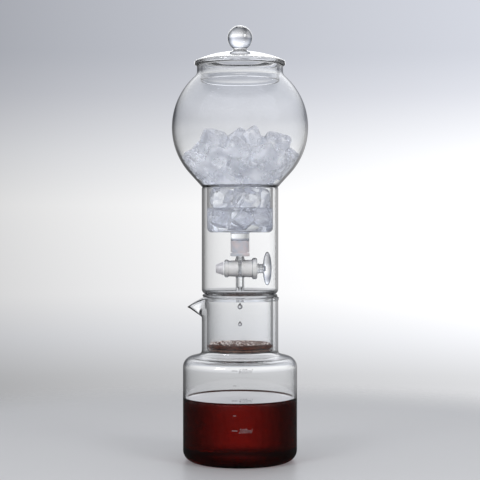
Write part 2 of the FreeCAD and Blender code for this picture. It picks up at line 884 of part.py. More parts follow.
def make_retaining_nut():
    """Conical nut on the key's stub, hollow at its wide end for the rubber ring."""
    body = new_body("retaining_nut", valve_height)
    start = washer_end
    finish = start - size["nut_length"]
    bore = size["stub_radius"] + size["key_clearance"]
    recess = size["ring_radius"] + size["ring_section"] + size["key_clearance"]
    recess_end = start - size["ring_section"] * 2 - size["key_clearance"]
    bore_end = -size["stub_length"] - size["key_clearance"]
    turned(body, [
        (finish, 0),
        (finish, size["nut_small_radius"]),
        (start, size["nut_large_radius"]),
        (start, recess),
        (recess_end, recess),
        (recess_end, bore),
        (bore_end, bore),
        (bore_end, 0),
    ], axis="H_Axis")
    rounded(body, size["nut_small_radius"] * 0.12, (finish, size["nut_small_radius"]), about="H_Axis")
    return body


# ---------------------------------------------------------------- lid
def make_lid_shell():
    """Domed lid with a flange over the globe's rim, a skirt down inside its neck, a flat for the knob."""
    body = new_body("lid_shell", lid_seat)
    wall = size["glass_wall"]
    dome = size["lid_dome_radius"]
    skirt = size["skirt_radius"]
    foot = size["knob_foot_radius"]
    seat = size["knob_seat_height"]
    centre = seat - other_leg(dome, foot)
    edge_top = centre + other_leg(dome, size["lid_radius"])
    inner_dome = dome - wall
    turned(body, [
        (0, centre + inner_dome, -inner_dome),
        (skirt - wall, centre + other_leg(inner_dome, skirt - wall)),
        (skirt - wall, -size["skirt_length"]),
        (skirt, -size["skirt_length"]),
        (skirt, 0),
        (size["lid_radius"], 0),
        (size["lid_radius"], edge_top, dome),
        (foot, seat),
        (0, seat),
    ])
    rounded(body, wall * 0.42, (skirt, -size["skirt_length"]), (skirt - wall, -size["skirt_length"]))
    rounded(body, wall, (skirt - wall, centre + other_leg(inner_dome, skirt - wall)))
    rounded(body, size["lid_edge_round"], (size["lid_radius"], 0), (size["lid_radius"], edge_top))
    return body


def make_lid_knob():
    """Solid glass ball on a short neck with a flared foot."""
    body = new_body("lid_knob", lid_seat + size["knob_seat_height"])
    foot = size["knob_foot_radius"]
    neck = size["knob_neck_radius"]
    ball = size["knob_ball_radius"]
    neck_top = size["knob_neck_height"]
    flare = foot - neck
    ball_centre = neck_top + other_leg(ball, neck)
    turned(body, [
        (0, 0),
        (foot, 0, -flare),
        (neck, flare),
        (neck, neck_top, ball),
        (0, ball_centre + ball),
    ])
    return body


# ---------------------------------------------------------------- ice and water
# Rings of cubes: how many, how far from the axis, how high their middle is above the globe's
# seat, and how far the ring is turned.
GLOBE_RINGS = [
    (1, 0.0, 11.0, 20.0),
    (6, 24.0, 11.0, 0.0),
    (5, 19.5, 28.5, 11.0),
    (12, 39.0, 28.5, 5.0),
    (3, 13.0, 46.0, 25.0),
    (8, 31.5, 46.0, 0.0),
]
RESERVOIR_RINGS = [
    (3, 14.5, -30.5, 30.0),
    (3, 14.5, -13.0, 90.0),
]


def make_ice(label, edge, rings):
    """Separate ice cubes with worn edges, in rings about the tower's axis."""
    cubes = []
    half = edge.value / 2
    middle = FreeCAD.Placement(FreeCAD.Vector(-half, -half, -half), FreeCAD.Rotation())
    for count, reach, height, turn in rings:
        for place in range(count):
            angle = turn + 360 * place / count
            spin = FreeCAD.Rotation(FreeCAD.Vector(0, 0, 1), angle)
            spot = spin.multVec(FreeCAD.Vector(reach, 0, 0))
            spot.z = globe_seat.value + height
            cube = doc.addObject("Part::Box", f"{label}_cube")
            for side in ("Length", "Width", "Height"):
                bind(cube, side, edge)
            cube.Placement = FreeCAD.Placement(spot, spin).multiply(middle)
            worn = doc.addObject("Part::Chamfer", f"{label}_worn")
            worn.Base = cube
            worn.Edges = [(number, DIMENSIONS["ice_chamfer"], DIMENSIONS["ice_chamfer"])
                          for number in range(1, 13)]
            cubes.append(worn)
    pile = doc.addObject("Part::Compound", label)
    pile.Label = label
    pile.Links = cubes
    return pile


def make_melt_water(ice):
    """Melt water in the reservoir and its socket, round the ice that stands in it."""
    body = new_body("water_column", globe_seat)
    gap = size["touch_gap"]
    bore = reservoir_bore - gap
    floor = reservoir_floor + gap
    low = socket_end + size["sleeve_depth"] + gap
    turned(body, [
        (0, low),
        (socket_bore - gap, low),
        (socket_bore - gap, floor),
        (bore, floor),
        (bore, floor + size["water_depth"]),
        (0, floor + size["water_depth"]),
    ])
    rounded(body, size["reservoir_round"] - size["glass_wall"], (bore, floor))
    water = doc.addObject("Part::Cut", "melt_water")
    water.Base = body
    water.Tool = ice
    water.Label = "melt_water"
    return water


# ---------------------------------------------------------------- build, check and write
reservoir_ice = make_ice("reservoir_ice", size["small_ice_edge"], RESERVOIR_RINGS)
sub_parts = [
    make_carafe(),
    make_brewed_coffee(),
    make_filter_cup(),
    make_filter_gasket(),
    make_filter_plate(),
    make_paper_filter(),
    make_coffee_grounds(),
    make_tower_tube(),
    make_ice_globe(),
    make_globe_reservoir(),
    make_valve_socket(),
    make_valve_sleeve(),
    make_valve_barrel(),
    make_valve_plug(),
    make_valve_handle(),
    make_plug_washer(),
    make_plug_o_ring(),
    make_retaining_nut(),
    make_lid_shell(),
    make_lid_knob(),
    make_ice("ice_cubes", size["ice_edge"], GLOBE_RINGS),
    reservoir_ice,
    make_melt_water(reservoir_ice),
]
doc.recompute()

for item in doc.Objects:
    if {"Invalid", "Error"} & set(item.State):
        raise RuntimeError(f"{item.Name} failed: {item.State}")
for part in sub_parts:
    if part.Shape.isNull() or not part.Shape.isValid():
        raise RuntimeError(f"{part.Label} has no valid shape")
for part in sub_parts:
    part.Shape.exportStep(f"parts/{part.Label}.step")
    box = part.Shape.BoundBox
    print(f"{part.Label:15} {len(part.Shape.Solids):3} solids {part.Shape.Volume / 1000:8.2f} cm3"
          f"  z {box.ZMin:7.2f} to {box.ZMax:7.2f}  x {box.XMin:6.2f} to {box.XMax:6.2f}")
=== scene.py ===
# %% [markdown]
# # A cold drip coffee tower in glass
# The tower is a stack of loose borosilicate glass pieces on one axis: a carafe with a drawn spout, a
# filter cup, a tube, an ice globe with a drip valve, and a lid with a ball knob. Their real sizes are in
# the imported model, which is loaded first and is never moved. Everything below is in metres, +Z up.
#
# Glass lives on its outline. Its inner and outer skins, its rims and its rounded corners are what the
# eye sees, so the glass pieces are turned again here with fine, smooth skins, and each new piece stands
# for the node that it covers.

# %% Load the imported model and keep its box
import math
import random

import bpy
from mathutils import Matrix, Vector


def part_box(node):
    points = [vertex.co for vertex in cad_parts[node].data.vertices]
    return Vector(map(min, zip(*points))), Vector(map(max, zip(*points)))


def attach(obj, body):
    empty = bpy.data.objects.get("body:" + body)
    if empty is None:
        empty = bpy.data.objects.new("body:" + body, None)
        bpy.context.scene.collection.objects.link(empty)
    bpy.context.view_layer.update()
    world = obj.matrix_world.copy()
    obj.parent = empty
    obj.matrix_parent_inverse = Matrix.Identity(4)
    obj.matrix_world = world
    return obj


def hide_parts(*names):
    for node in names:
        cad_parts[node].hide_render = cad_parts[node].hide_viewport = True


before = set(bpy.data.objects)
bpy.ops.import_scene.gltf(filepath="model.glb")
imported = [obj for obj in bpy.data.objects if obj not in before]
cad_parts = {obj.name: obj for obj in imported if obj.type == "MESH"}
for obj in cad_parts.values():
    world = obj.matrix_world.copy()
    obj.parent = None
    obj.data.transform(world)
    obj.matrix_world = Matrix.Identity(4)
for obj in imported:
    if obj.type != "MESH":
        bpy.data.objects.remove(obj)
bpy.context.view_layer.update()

# %% [markdown]
# The sizes that drive the shapes are named once. What a node's box tells is read from the imported model,
# so a change in the model moves the new skins with it. Wall thicknesses and rounds are hidden inside the
# boxes, so they are named in millimetres here.

# %% Heights and radii of the stack
MM = 0.001
carafe_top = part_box("carafe")[1].z
cup_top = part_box("filter_cup")[1].z
globe_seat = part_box("tower_tube")[1].z
lid_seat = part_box("ice_globe")[1].z
valve_height = sum(corner.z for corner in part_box("valve_handle")) / 2
carafe_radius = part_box("carafe")[1].y
tube_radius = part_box("tower_tube")[1].y
globe_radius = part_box("ice_globe")[1].y
lid_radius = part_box("lid_shell")[1].y
coffee_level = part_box("brewed_coffee")[1].z
water_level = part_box("melt_water")[1].z
carafe_wall = 2.3 * MM
carafe_floor = 4.0 * MM
neck_radius = 35.0 * MM
cup_radius = 30.4 * MM
cup_wall = 2.0 * MM
cup_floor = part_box("filter_cup")[0].z + cup_wall
tube_wall = 2.4 * MM
glass_wall = 2.0 * MM
reservoir_radius = 30.2 * MM
reservoir_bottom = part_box("globe_reservoir")[0].z
socket_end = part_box("valve_socket")[0].z
socket_radius = 8.5 * MM
socket_wall = 1.8 * MM
seam = 0.06 * MM
print("seats at", [round(z / MM, 1) for z in (carafe_top, cup_top, globe_seat, lid_seat)], "mm")

# %% [markdown]
# An operator works on whatever is selected, and loading leaves every node selected, so each step starts
# by clearing the selection. `select_only` is used before every object operator.

# %% Select one piece
def select_only(*pieces):
    """Select these objects, with the first one active."""
    bpy.ops.object.select_all(action="DESELECT")
    for piece in pieces:
        piece.select_set(True)
    if pieces:
        bpy.context.view_layer.objects.active = pieces[0]


def apply_place(piece):
    """Put the object at the origin, with its place in its mesh."""
    select_only(piece)
    bpy.ops.object.transform_apply(location=True, rotation=True, scale=True)
    return piece


def apply_modifier(piece, kind, **settings):
    """Add one modifier and apply it at once."""
    select_only(piece)
    modifier = piece.modifiers.new(kind.lower(), kind)
    for name, value in settings.items():
        setattr(modifier, name, value)
    bpy.ops.object.modifier_apply(modifier=modifier.name)
    return piece


select_only()
print("nothing is selected now:", not bpy.context.selected_objects)

# %% [markdown]
# ## Turning glass on a lathe
# Blown and lathe-worked glass is round about an axis, so a piece is an outline and one turn. The outline
# is a list of corners. A corner with a radius becomes an arc, and a long straight run is cut into short
# ones, because smooth shading blends normals from point to point and would smear a corner's bend along a
# long wall. Light that passes through a wall is bent by those normals, so this matters more in glass than
# in any other material.

# %% Outline of a turned piece
def arc(centre, radius, start, finish, steps=24):
    """Points on a circle in the outline's plane, from one angle to another, in degrees."""
    across, up = centre
    turn = (finish - start) / steps
    angles = [math.radians(start + turn * step) for step in range(steps + 1)]
    return [(across + radius * math.cos(a), up + radius * math.sin(a)) for a in angles]


def round_corner(before, here, after, radius):
    """The arc that rounds one corner, as points."""
    back = (before - here).normalized()
    on = (after - here).normalized()
    half = back.angle(on) / 2
    centre = here + (back + on).normalized() * (radius / math.sin(half))
    first = here + back * (radius / math.tan(half)) - centre
    last = here + on * (radius / math.tan(half)) - centre
    start = math.atan2(first.y, first.x)
    turn = (math.atan2(last.y, last.x) - start + math.pi) % math.tau - math.pi
    steps = max(4, math.ceil(abs(turn) / math.radians(8)))
    angles = [start + turn * step / steps for step in range(steps + 1)]
    return [centre + Vector((math.cos(a), math.sin(a))) * radius for a in angles]


def outline(corners, closed=False, run=3 * MM):
    """Points along corners (across, up) or (across, up, radius of the rounding)."""
    path = []
    for index, corner in enumerate(corners):
        here = Vector(corner[:2])
        if len(corner) == 2:
            path.append(here)
            continue
        before = Vector(corners[index - 1][:2])
        after = Vector(corners[(index + 1) % len(corners)][:2])
        path += round_corner(before, here, after, corner[2])
    if closed:
        path.append(path[0])
    points = path[:1]
    for start, finish in zip(path, path[1:]):
        pieces = max(1, round((finish - start).length / run))
        points += [start.lerp(finish, step / pieces) for step in range(1, pieces + 1)]
    return points


square = outline([(0, 0), (10 * MM, 0, 2 * MM), (10 * MM, 10 * MM)])
print("a test corner has", len(square), "points")

# %% [markdown]
# The lathe itself is three operators: one vertex, made from a plane merged to its centre, is extruded
# along the outline, the line is spun once round, and points that meet on the axis or at the seam are
# merged. The finished skin gets its normals recalculated, because a spin can turn it inside out.

# %% Spin an outline
def turned(name, points, centre=(0, 0, 0), axis=(0, 0, 1), steps=128):
    """Turn an outline, drawn in the XZ plane from this centre, about an axis through the centre."""
    centre = Vector(centre)
    spots = [centre + Vector((point.x, 0, point.y)) for point in points]
    bpy.ops.object.select_all(action="DESELECT")
    bpy.ops.mesh.primitive_plane_add(size=MM, location=spots[0])
    piece = bpy.context.active_object
    piece.name = name
    bpy.ops.object.mode_set(mode="EDIT")
    bpy.ops.mesh.select_mode(type="VERT")
    bpy.ops.mesh.select_all(action="SELECT")
    bpy.ops.mesh.merge(type="CENTER")
    for start, finish in zip(spots, spots[1:]):
        bpy.ops.mesh.extrude_region_move(TRANSFORM_OT_translate={"value": finish - start})
    bpy.ops.mesh.select_all(action="SELECT")
    bpy.ops.mesh.spin(steps=steps, angle=math.tau, center=centre, axis=axis)
    bpy.ops.mesh.select_all(action="SELECT")
    bpy.ops.mesh.remove_doubles(threshold=0.002 * MM)
    bpy.ops.mesh.normals_make_consistent(inside=False)
    bpy.ops.object.mode_set(mode="OBJECT")
    apply_place(piece)
    bpy.ops.object.shade_smooth()
    print(f"{name}: {len(points)} outline points, {len(piece.data.polygons)} faces")
    return piece


# %% [markdown]
# ## The carafe
# The carafe is blown into a mould: a flat ring to stand on, a hollow with a slight punt inside it, a
# straight wall, a soft shoulder and a straight neck with a beaded rim. Outer and inner skin are one
# closed outline. The inner floor rises a little in the middle, which throws the bright arcs low in the
# coffee.

# %% Carafe skin
shoulder_height = 93.5 * MM
neck_root = 97.8 * MM
inner_round = 7.7 * MM
punt = 1.5 * MM


def carafe_inner(grow=0.0):
    """Corners of the carafe's inner skin from the root of its neck down to the middle of its floor."""
    bore = carafe_radius - carafe_wall + grow
    neck = neck_radius - carafe_wall + grow
    shoulder = shoulder_height - carafe_wall + grow
    return [
        (neck, shoulder + 4.3 * MM, 6.3 * MM - grow),
        (bore, shoulder, inner_round + grow),
        (bore, carafe_floor - grow, inner_round + grow),
        (34 * MM, carafe_floor - grow, 20 * MM),
        (12 * MM, carafe_floor + 1.6 * MM - grow, 20 * MM),
        (0, carafe_floor + 1.9 * MM - grow),
    ]


rim_bead = neck_radius + 0.5 * MM
carafe_skin = outline([
    (0, punt),
    (26 * MM, punt, 5 * MM),
    (30 * MM, 0, 3 * MM),
    (carafe_radius, 0, 10 * MM),
    (carafe_radius, shoulder_height, 10 * MM),
    (neck_radius, neck_root, 4 * MM),
    (neck_radius, carafe_top - 3.2 * MM, 1 * MM),
    (rim_bead, carafe_top - 2.4 * MM, 1 * MM),
    (rim_bead, carafe_top, 1.2 * MM),
    (neck_radius - carafe_wall, carafe_top, 1.1 * MM),
    *carafe_inner(),
])
carafe = turned("carafe_glass", carafe_skin, steps=240)

# %% [markdown]
# The spout is pulled out of the hot rim with a rod. The same is done to the mesh: every point near the
# spout's line moves out along -X and down, most at the rim and less towards the keel, and less to each
# side. Both skins move alike, so the wall keeps its thickness.

# %% Draw the spout
spout_reach = 48.2 * MM
spout_drop = 9.1 * MM
keel_height = 131.4 * MM
spout_narrow = math.radians(16)
spout_wide = math.radians(38)
tip_round = math.radians(1.4)


def spout_pull(place):
    """How far one point moves, from 0 far from the spout to 1 at its tip."""
    share = (place.z - keel_height) / (carafe_top - keel_height)
    if share <= 0 or place.x > 0:
        return 0.0
    half = spout_narrow + (spout_wide - spout_narrow) * share
    turn = math.hypot(math.atan2(place.y, -place.x), tip_round) - tip_round
    if turn >= half:
        return 0.0
    return share * (1 - turn / half) ** 2.2


for vertex in carafe.data.vertices:
    pull = spout_pull(vertex.co)
    vertex.co.x -= (spout_reach - neck_radius) * pull
    vertex.co.z -= spout_drop * pull
print("spout tip at", round(min(v.co.x for v in carafe.data.vertices if v.co.z > keel_height) / MM, 1))

# %% [markdown]
# ## Filter cup and tube
# The cup hangs by its flange in the carafe's neck. The tube stands on the flange; its foot turns in and
# ends in a short spigot. Both are closed rings, so their outlines return to their first corner. Light
# can't tell which of two coincident skins comes first, so touching skins are never in one plane. The cup
# stays a few hundredths of a millimetre off the rim. The tube's wet ends reach as little into the flange
# below and the globe above, so light passes there instead of being thrown back as a thick dark line.

# %% Filter cup and tube skins
cup_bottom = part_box("filter_cup")[0].z
cup_bore = cup_radius - cup_wall
cup_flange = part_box("filter_cup")[1].y
cup_skin = outline([
    (19 * MM, cup_bottom, 0.8 * MM),
    (cup_radius, cup_bottom, 4.5 * MM),
    (cup_radius, carafe_top + seam, 1.2 * MM),
    (cup_flange, carafe_top + seam, 0.8 * MM),
    (cup_flange, cup_top - seam, 1.0 * MM),
    (cup_bore, cup_top - seam, 0.9 * MM),
    (cup_bore, cup_floor, 1.2 * MM),
    (19 * MM, cup_floor, 0.8 * MM),
], closed=True)
filter_cup = turned("filter_cup_glass", cup_skin)

tube_bore = tube_radius - tube_wall
spigot = 27.6 * MM
spigot_bore = spigot - 2.2 * MM
spigot_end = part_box("tower_tube")[0].z
tube_skin = outline([
    (spigot_bore, spigot_end, 0.9 * MM),
    (spigot, spigot_end, 0.9 * MM),
    (spigot, cup_top - 2 * seam, 0.5 * MM),
    (tube_radius, cup_top - 2 * seam, 5 * MM),
    (tube_radius, globe_seat + 2 * seam, 1.0 * MM),
    (tube_bore, globe_seat + 2 * seam, 1.0 * MM),
    (tube_bore, cup_top + tube_wall, 2.6 * MM),
    (spigot_bore, cup_top + tube_wall, 1.0 * MM),
], closed=True)
tower_tube = turned("tower_tube_glass", tube_skin)

# %% [markdown]
# ## The ice globe
# The globe is a ball over a cone, with a wide neck above and a reservoir and socket fused below. The
# ball's outline touches the cone, and its neck grows out of it with a small round, whose centre is one
# round's width outside the neck and outside the ball. The inner skin repeats this one wall further in.

# %% Globe skin
ball_centre = 54.9 * MM
cone_angle = 47.8
globe_neck = 39.3 * MM
globe_height = lid_seat - globe_seat
neck_round = 6.0 * MM


def ball_and_neck(inset):
    """Outline of the ball from the cone's upper end to its neck, this far inside the outer skin."""
    ball = globe_radius - inset
    fillet = neck_round + inset
    across = globe_neck + neck_round
    up = ball_centre + math.sqrt((globe_radius + neck_round) ** 2 - across ** 2)
    lean = math.degrees(math.atan2(up - ball_centre, across))
    low = cone_angle - 90
    return [*arc((0, ball_centre), ball, low, lean, 56), *arc((across, up), fillet, lean + 180, 180, 8)]


def cone_foot(inset):
    """Radius of the cone at the seat, this far inside the outer skin and above the seat."""
    angle = math.radians(cone_angle)
    return (globe_radius - inset - (ball_centre - inset) * math.cos(angle)) / math.sin(angle)


reservoir_bore = reservoir_radius - glass_wall
socket_bore = socket_radius - socket_wall
floor = reservoir_bottom + glass_wall - globe_seat
globe_skin = outline([
    (socket_bore, socket_end - globe_seat, 0.6 * MM),
    (socket_radius, socket_end - globe_seat, 0.6 * MM),
    (socket_radius, reservoir_bottom - globe_seat, 1.2 * MM),
    (reservoir_radius, reservoir_bottom - globe_seat, 4.5 * MM),
    (reservoir_radius, seam, 1.2 * MM),
    (cone_foot(0), seam, 0.3 * MM),
    *ball_and_neck(0),
    (globe_neck, globe_height - seam, 0.9 * MM),
    (globe_neck - glass_wall, globe_height - seam, 0.9 * MM),
    *reversed(ball_and_neck(glass_wall)),
    (cone_foot(glass_wall), glass_wall, 3 * MM),
    (reservoir_bore, glass_wall, 1.2 * MM),
    (reservoir_bore, floor, 2.5 * MM),
    (socket_bore, floor, 1.2 * MM),
], closed=True)
ice_globe = turned("ice_globe_glass", globe_skin, centre=(0, 0, globe_seat), steps=160)

# %% [markdown]
# ## The lid
# The lid is a shallow dome with a flange that rests on the globe's rim and a skirt that hangs inside the
# neck. Its knob is a solid ball on a short neck, fused to the dome, so lid and knob are one outline: there
# must be no skin between them for light to stop at.

# %% Lid and knob skin
dome = 100 * MM
knob_foot = 9.4 * MM
knob_neck = 6.4 * MM
knob_flare = knob_foot - knob_neck
knob_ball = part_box("lid_knob")[1].y
knob_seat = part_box("lid_knob")[0].z - lid_seat
dome_centre = knob_seat - math.sqrt(dome ** 2 - knob_foot ** 2)
skirt = 36.2 * MM
skirt_bore = skirt - glass_wall
skirt_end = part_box("lid_shell")[0].z - lid_seat
edge_round = 1.5 * MM
ball_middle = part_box("lid_knob")[1].z - lid_seat - knob_ball


def dome_angle(radius, across):
    """Angle at the dome's centre at which it is this far from the axis."""
    return math.degrees(math.acos(across / radius))


edge_height = dome_centre + math.sqrt(dome ** 2 - lid_radius ** 2)
under = dome - glass_wall
under_round = 2.0 * MM
under_lean = dome_angle(under - under_round, skirt_bore - under_round)
under_rise = (under - under_round) * math.sin(math.radians(under_lean))
neck_lean = math.degrees(math.acos(knob_neck / knob_ball))
lid_skin = outline([
    *arc((0, dome_centre), under, 90, under_lean, 16),
    *arc((skirt_bore - under_round, dome_centre + under_rise), under_round, under_lean, 0, 6),
    (skirt_bore, skirt_end, 0.9 * MM),
    (skirt, skirt_end, 0.9 * MM),
    (skirt, seam, 0.8 * MM),
    (lid_radius, seam, edge_round),
    (lid_radius, edge_height, edge_round),
    *arc((0, dome_centre), dome, dome_angle(dome, lid_radius - 2 * edge_round),
         dome_angle(dome, knob_foot), 20),
    *arc((knob_foot, knob_seat + knob_flare), knob_flare, -95, -180, 8),
    *arc((0, ball_middle), knob_ball, -neck_lean, 90, 40),
])
lid = turned("lid_glass", lid_skin, centre=(0, 0, lid_seat), steps=144)

# %% [markdown]
# ## The drip valve
# The valve is lampworked: a barrel with a bead at each end, a stem up into the sleeve, a stem down to the
# drip tip, all melted together. Boolean operators join the turned parts and bore them, and a fine remesh
# with a little smoothing then melts the joints, as the flame does. The conical bore keeps its size, so
# the key still turns in it.

# %% Boolean helper
def combine(piece, tool, operation):
    """Add a tool to a piece or cut it out, and delete the tool."""
    apply_modifier(piece, "BOOLEAN", operation=operation, object=tool, solver="EXACT")
    bpy.data.objects.remove(tool)
    return piece


# %% Valve barrel
ALONG = (1, 0, 0)
valve_place = (0, 0, valve_height)
barrel_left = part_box("valve_barrel")[0].x
barrel_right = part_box("valve_barrel")[1].x
bead_left = 8.1 * MM
bead_right = 9.8 * MM
barrel_thin = 7.2 * MM
barrel_thick = 8.1 * MM
inlet_radius = 3.6 * MM
outlet_radius = 3.85 * MM
inlet_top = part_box("valve_barrel")[1].z - valve_height
outlet_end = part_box("valve_barrel")[0].z - valve_height
barrel = turned("valve_barrel_glass", outline([
    (barrel_left, 0),
    (barrel_left, bead_left, 1.3 * MM),
    (barrel_left + 3.5 * MM, bead_left, 1.3 * MM),
    (barrel_left + 3.8 * MM, barrel_thin, 0.4 * MM),
    (-1.6 * MM, barrel_thin + 0.3 * MM, 0.4 * MM),
    (-1.2 * MM, barrel_thin + 0.9 * MM, 0.5 * MM),
    (1.2 * MM, barrel_thin + 0.9 * MM, 0.5 * MM),
    (1.6 * MM, barrel_thin + 0.4 * MM, 0.4 * MM),
    (barrel_right - 4.6 * MM, barrel_thick, 0.4 * MM),
    (barrel_right - 4.3 * MM, bead_right, 1.6 * MM),
    (barrel_right, bead_right, 1.6 * MM),
    (barrel_right, 0),
], run=MM), valve_place, ALONG, 72)
stem = turned("stem", outline([
    (0, outlet_end),
    (outlet_radius, outlet_end, 1.4 * MM),
    (outlet_radius, -7.8 * MM, 2 * MM),
    (outlet_radius + 1.2 * MM, -5.8 * MM),
    (outlet_radius + 1.2 * MM, 5.8 * MM),
    (inlet_radius + 0.8 * MM, 8.2 * MM, 2 * MM),
    (inlet_radius, 10.4 * MM, 2 * MM),
    (inlet_radius, inlet_top, 0.6 * MM),
    (0, inlet_top),
], run=MM), valve_place, steps=72)
combine(barrel, stem, "UNION")
seat_left = 4.6 * MM
seat_right = 5.8 * MM
slope = (seat_right - seat_left) / (barrel_right - barrel_left)
drip_bore = 1.2 * MM
inlet_bore = 2.2 * MM
reamer = turned("reamer", outline([
    (barrel_left - MM, 0),
    (barrel_left - MM, seat_left - slope * MM),
    (barrel_right + MM, seat_right + slope * MM),
    (barrel_right + MM, 0),
], run=MM), valve_place, ALONG, 72)
drill = turned("drill", outline([
    (0, outlet_end - MM),
    (drip_bore, outlet_end - MM),
    (drip_bore, outlet_end + 3.2 * MM),
    (inlet_bore, outlet_end + 4.6 * MM),
    (inlet_bore, inlet_top + MM),
    (0, inlet_top + MM),
], run=MM), valve_place, steps=48)
combine(barrel, reamer, "DIFFERENCE")
combine(barrel, drill, "DIFFERENCE")
apply_modifier(barrel, "REMESH", mode="VOXEL", voxel_size=0.3 * MM)
apply_modifier(barrel, "SMOOTH", factor=0.5, iterations=4)
select_only(barrel)
bpy.ops.object.shade_smooth()
print("barrel faces:", len(barrel.data.polygons))

# %% [markdown]
# The key is a ground cone with a cross bore and a fine groove round it, which lets single drops through.
# Its large end carries a beaded shaft with a spindle across it as the handle; its small end carries a stub
# for the nut. The ground cone is frosted, the shaft and the groove are clear, so the key takes two
# materials. The joint is greased: the cone reaches a little way into the barrel's glass, so that no skin
# of air hides it.

# %% Key and handle
key_gap = 0.05 * MM
grease = 0.15 * MM
groove_half = 1.1 * MM
groove_floor = groove_half * 0.8
groove_depth = 0.6 * MM
seat_middle = (seat_left + seat_right) / 2
stub = 3.2 * MM
shaft = 3.9 * MM
pin = 2.4 * MM
pin_length = 2.4 * MM
beads = 4
high_crest = 0.45 * MM
low_crest = 0.05 * MM
handle_reach = 25 * MM
handle_half = (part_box("valve_handle")[1].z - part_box("valve_handle")[0].z) / 2
handle_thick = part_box("valve_handle")[1].y
shaft_start = barrel_right + 2.0 * MM
shaft_end = handle_reach - handle_thick + 0.4 * MM
bead_width = (shaft_end - shaft_start) / beads
stub_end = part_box("valve_plug")[0].x
cone_start = barrel_left + 0.3 * MM
cone_end = barrel_right + 0.3 * MM
key_corners = [
    (stub_end, 0),
    (stub_end, stub, 0.4 * MM),
    (cone_start, stub),
    (cone_start, seat_left + grease, 0.3 * MM),
    (-groove_half, seat_middle + grease),
    (-groove_floor, seat_middle - groove_depth),
    (groove_floor, seat_middle - groove_depth),
    (groove_half, seat_middle + grease),
    (cone_end, seat_right + grease),
    (cone_end, shaft + 2.7 * MM, 0.8 * MM),
    (shaft_start, shaft, 0.4 * MM),
]
for bead in range(beads):
    crest = shaft + (high_crest if bead % 2 else low_crest)
    left = shaft_start + bead * bead_width
    key_corners += [(left + share * bead_width, crest, 0.25 * MM) for share in (0.15, 0.85)]
key_corners += [
    (shaft_end, pin),
    (shaft_end + pin_length, pin, 0.4 * MM),
    (shaft_end + pin_length, 0),
]
valve_key = turned("valve_key_glass", outline(key_corners, run=MM), valve_place, ALONG, 72)
cross_radius = 2.4 * MM
cross_reach = 9 * MM
cross_bore = turned("cross_bore", outline([
    (0, -cross_reach),
    (cross_radius, -cross_reach),
    (cross_radius, cross_reach),
    (0, cross_reach),
]), valve_place, steps=48)
combine(valve_key, cross_bore, "DIFFERENCE")

spindle = [(handle_thick * math.cos(a), handle_half * math.sin(a))
           for a in [math.radians(degrees) for degrees in range(-90, 91, 4)]]
spindle[0] = (0, -handle_half)
spindle[-1] = (0, handle_half)
handle = turned("valve_handle_glass", outline(spindle), (handle_reach, 0, valve_height), steps=72)
recess_start = handle_reach - handle_thick - MM
recess_wide = shaft + 0.5 * MM
pin_hole = 2.35 * MM
pin_hole_end = shaft_end + 2.3 * MM
recess = turned("recess", outline([
    (recess_start, 0),
    (recess_start, recess_wide),
    (shaft_end - key_gap, recess_wide),
    (shaft_end - key_gap, pin_hole),
    (pin_hole_end, pin_hole),
    (pin_hole_end, 0),
]), valve_place, ALONG, 48)
combine(handle, recess, "DIFFERENCE")

# %% [markdown]
# The nut is a moulded nylon cone that screws onto the key's stub and draws the cone into its seat. The
# sleeve is a silicone plug with a flange. It is pressed into the socket, so it is a little fuller than the
# socket's bore. Key, handle, nut and sleeve are shaded last: smooth, but sharp where faces turn a lot.

# %% Nut and sleeve
nut_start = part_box("retaining_nut")[1].x
nut_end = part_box("retaining_nut")[0].x
ring_room = 5.25 * MM
ring_room_end = nut_start - 1.85 * MM
thread_bore = 3.25 * MM
nut = turned("retaining_nut_cap", outline([
    (nut_end, 0),
    (nut_end, 3.8 * MM, 0.5 * MM),
    (nut_start - 1.3 * MM, 5.75 * MM, 0.4 * MM),
    (nut_start, 6.0 * MM, 0.3 * MM),
    (nut_start, ring_room),
    (ring_room_end, ring_room),
    (ring_room_end, thread_bore),
    (stub_end - key_gap, thread_bore),
    (stub_end - key_gap, 0),
], run=MM), valve_place, ALONG, 96)

sleeve_low, sleeve_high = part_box("valve_sleeve")
flange_top = socket_end - 0.6 * MM
sleeve_plug = socket_bore + 0.1 * MM
sleeve = turned("valve_sleeve_silicone", outline([
    (inlet_radius + key_gap, sleeve_low.z, 0.3 * MM),
    (sleeve_high.x, sleeve_low.z, 0.9 * MM),
    (sleeve_high.x, flange_top, 0.9 * MM),
    (sleeve_plug, flange_top, 0.3 * MM),
    (sleeve_plug, sleeve_high.z, 0.6 * MM),
    (inlet_radius + key_gap, sleeve_high.z, 0.4 * MM),
], closed=True, run=MM), steps=96)
for piece in (valve_key, handle, nut, sleeve):
    select_only(piece)
    bpy.ops.object.shade_smooth_by_angle(angle=math.radians(38))

# %% [markdown]
# ## Coffee and melt water
# A liquid wets its glass: it has no skin of its own against the wall. The liquid's mesh therefore reaches
# a little way into the glass, so that a ray leaves the glass inside the liquid and is bent as in a full
# vessel. At the top the surface climbs the wall in a small meniscus.

# %% Liquids
wetting = 0.35 * MM
meniscus = 1.5 * MM


def liquid_surface(bore, level):
    """Corners of a free surface from the axis to the wall, with its meniscus, going outwards."""
    climb = [(bore - meniscus * 2 * (1 - share), level + meniscus * share ** 2.6)
             for share in [step / 8 for step in range(9)]]
    return [(0, level), (bore * 0.5, level), *climb, (bore + wetting, level + meniscus)]


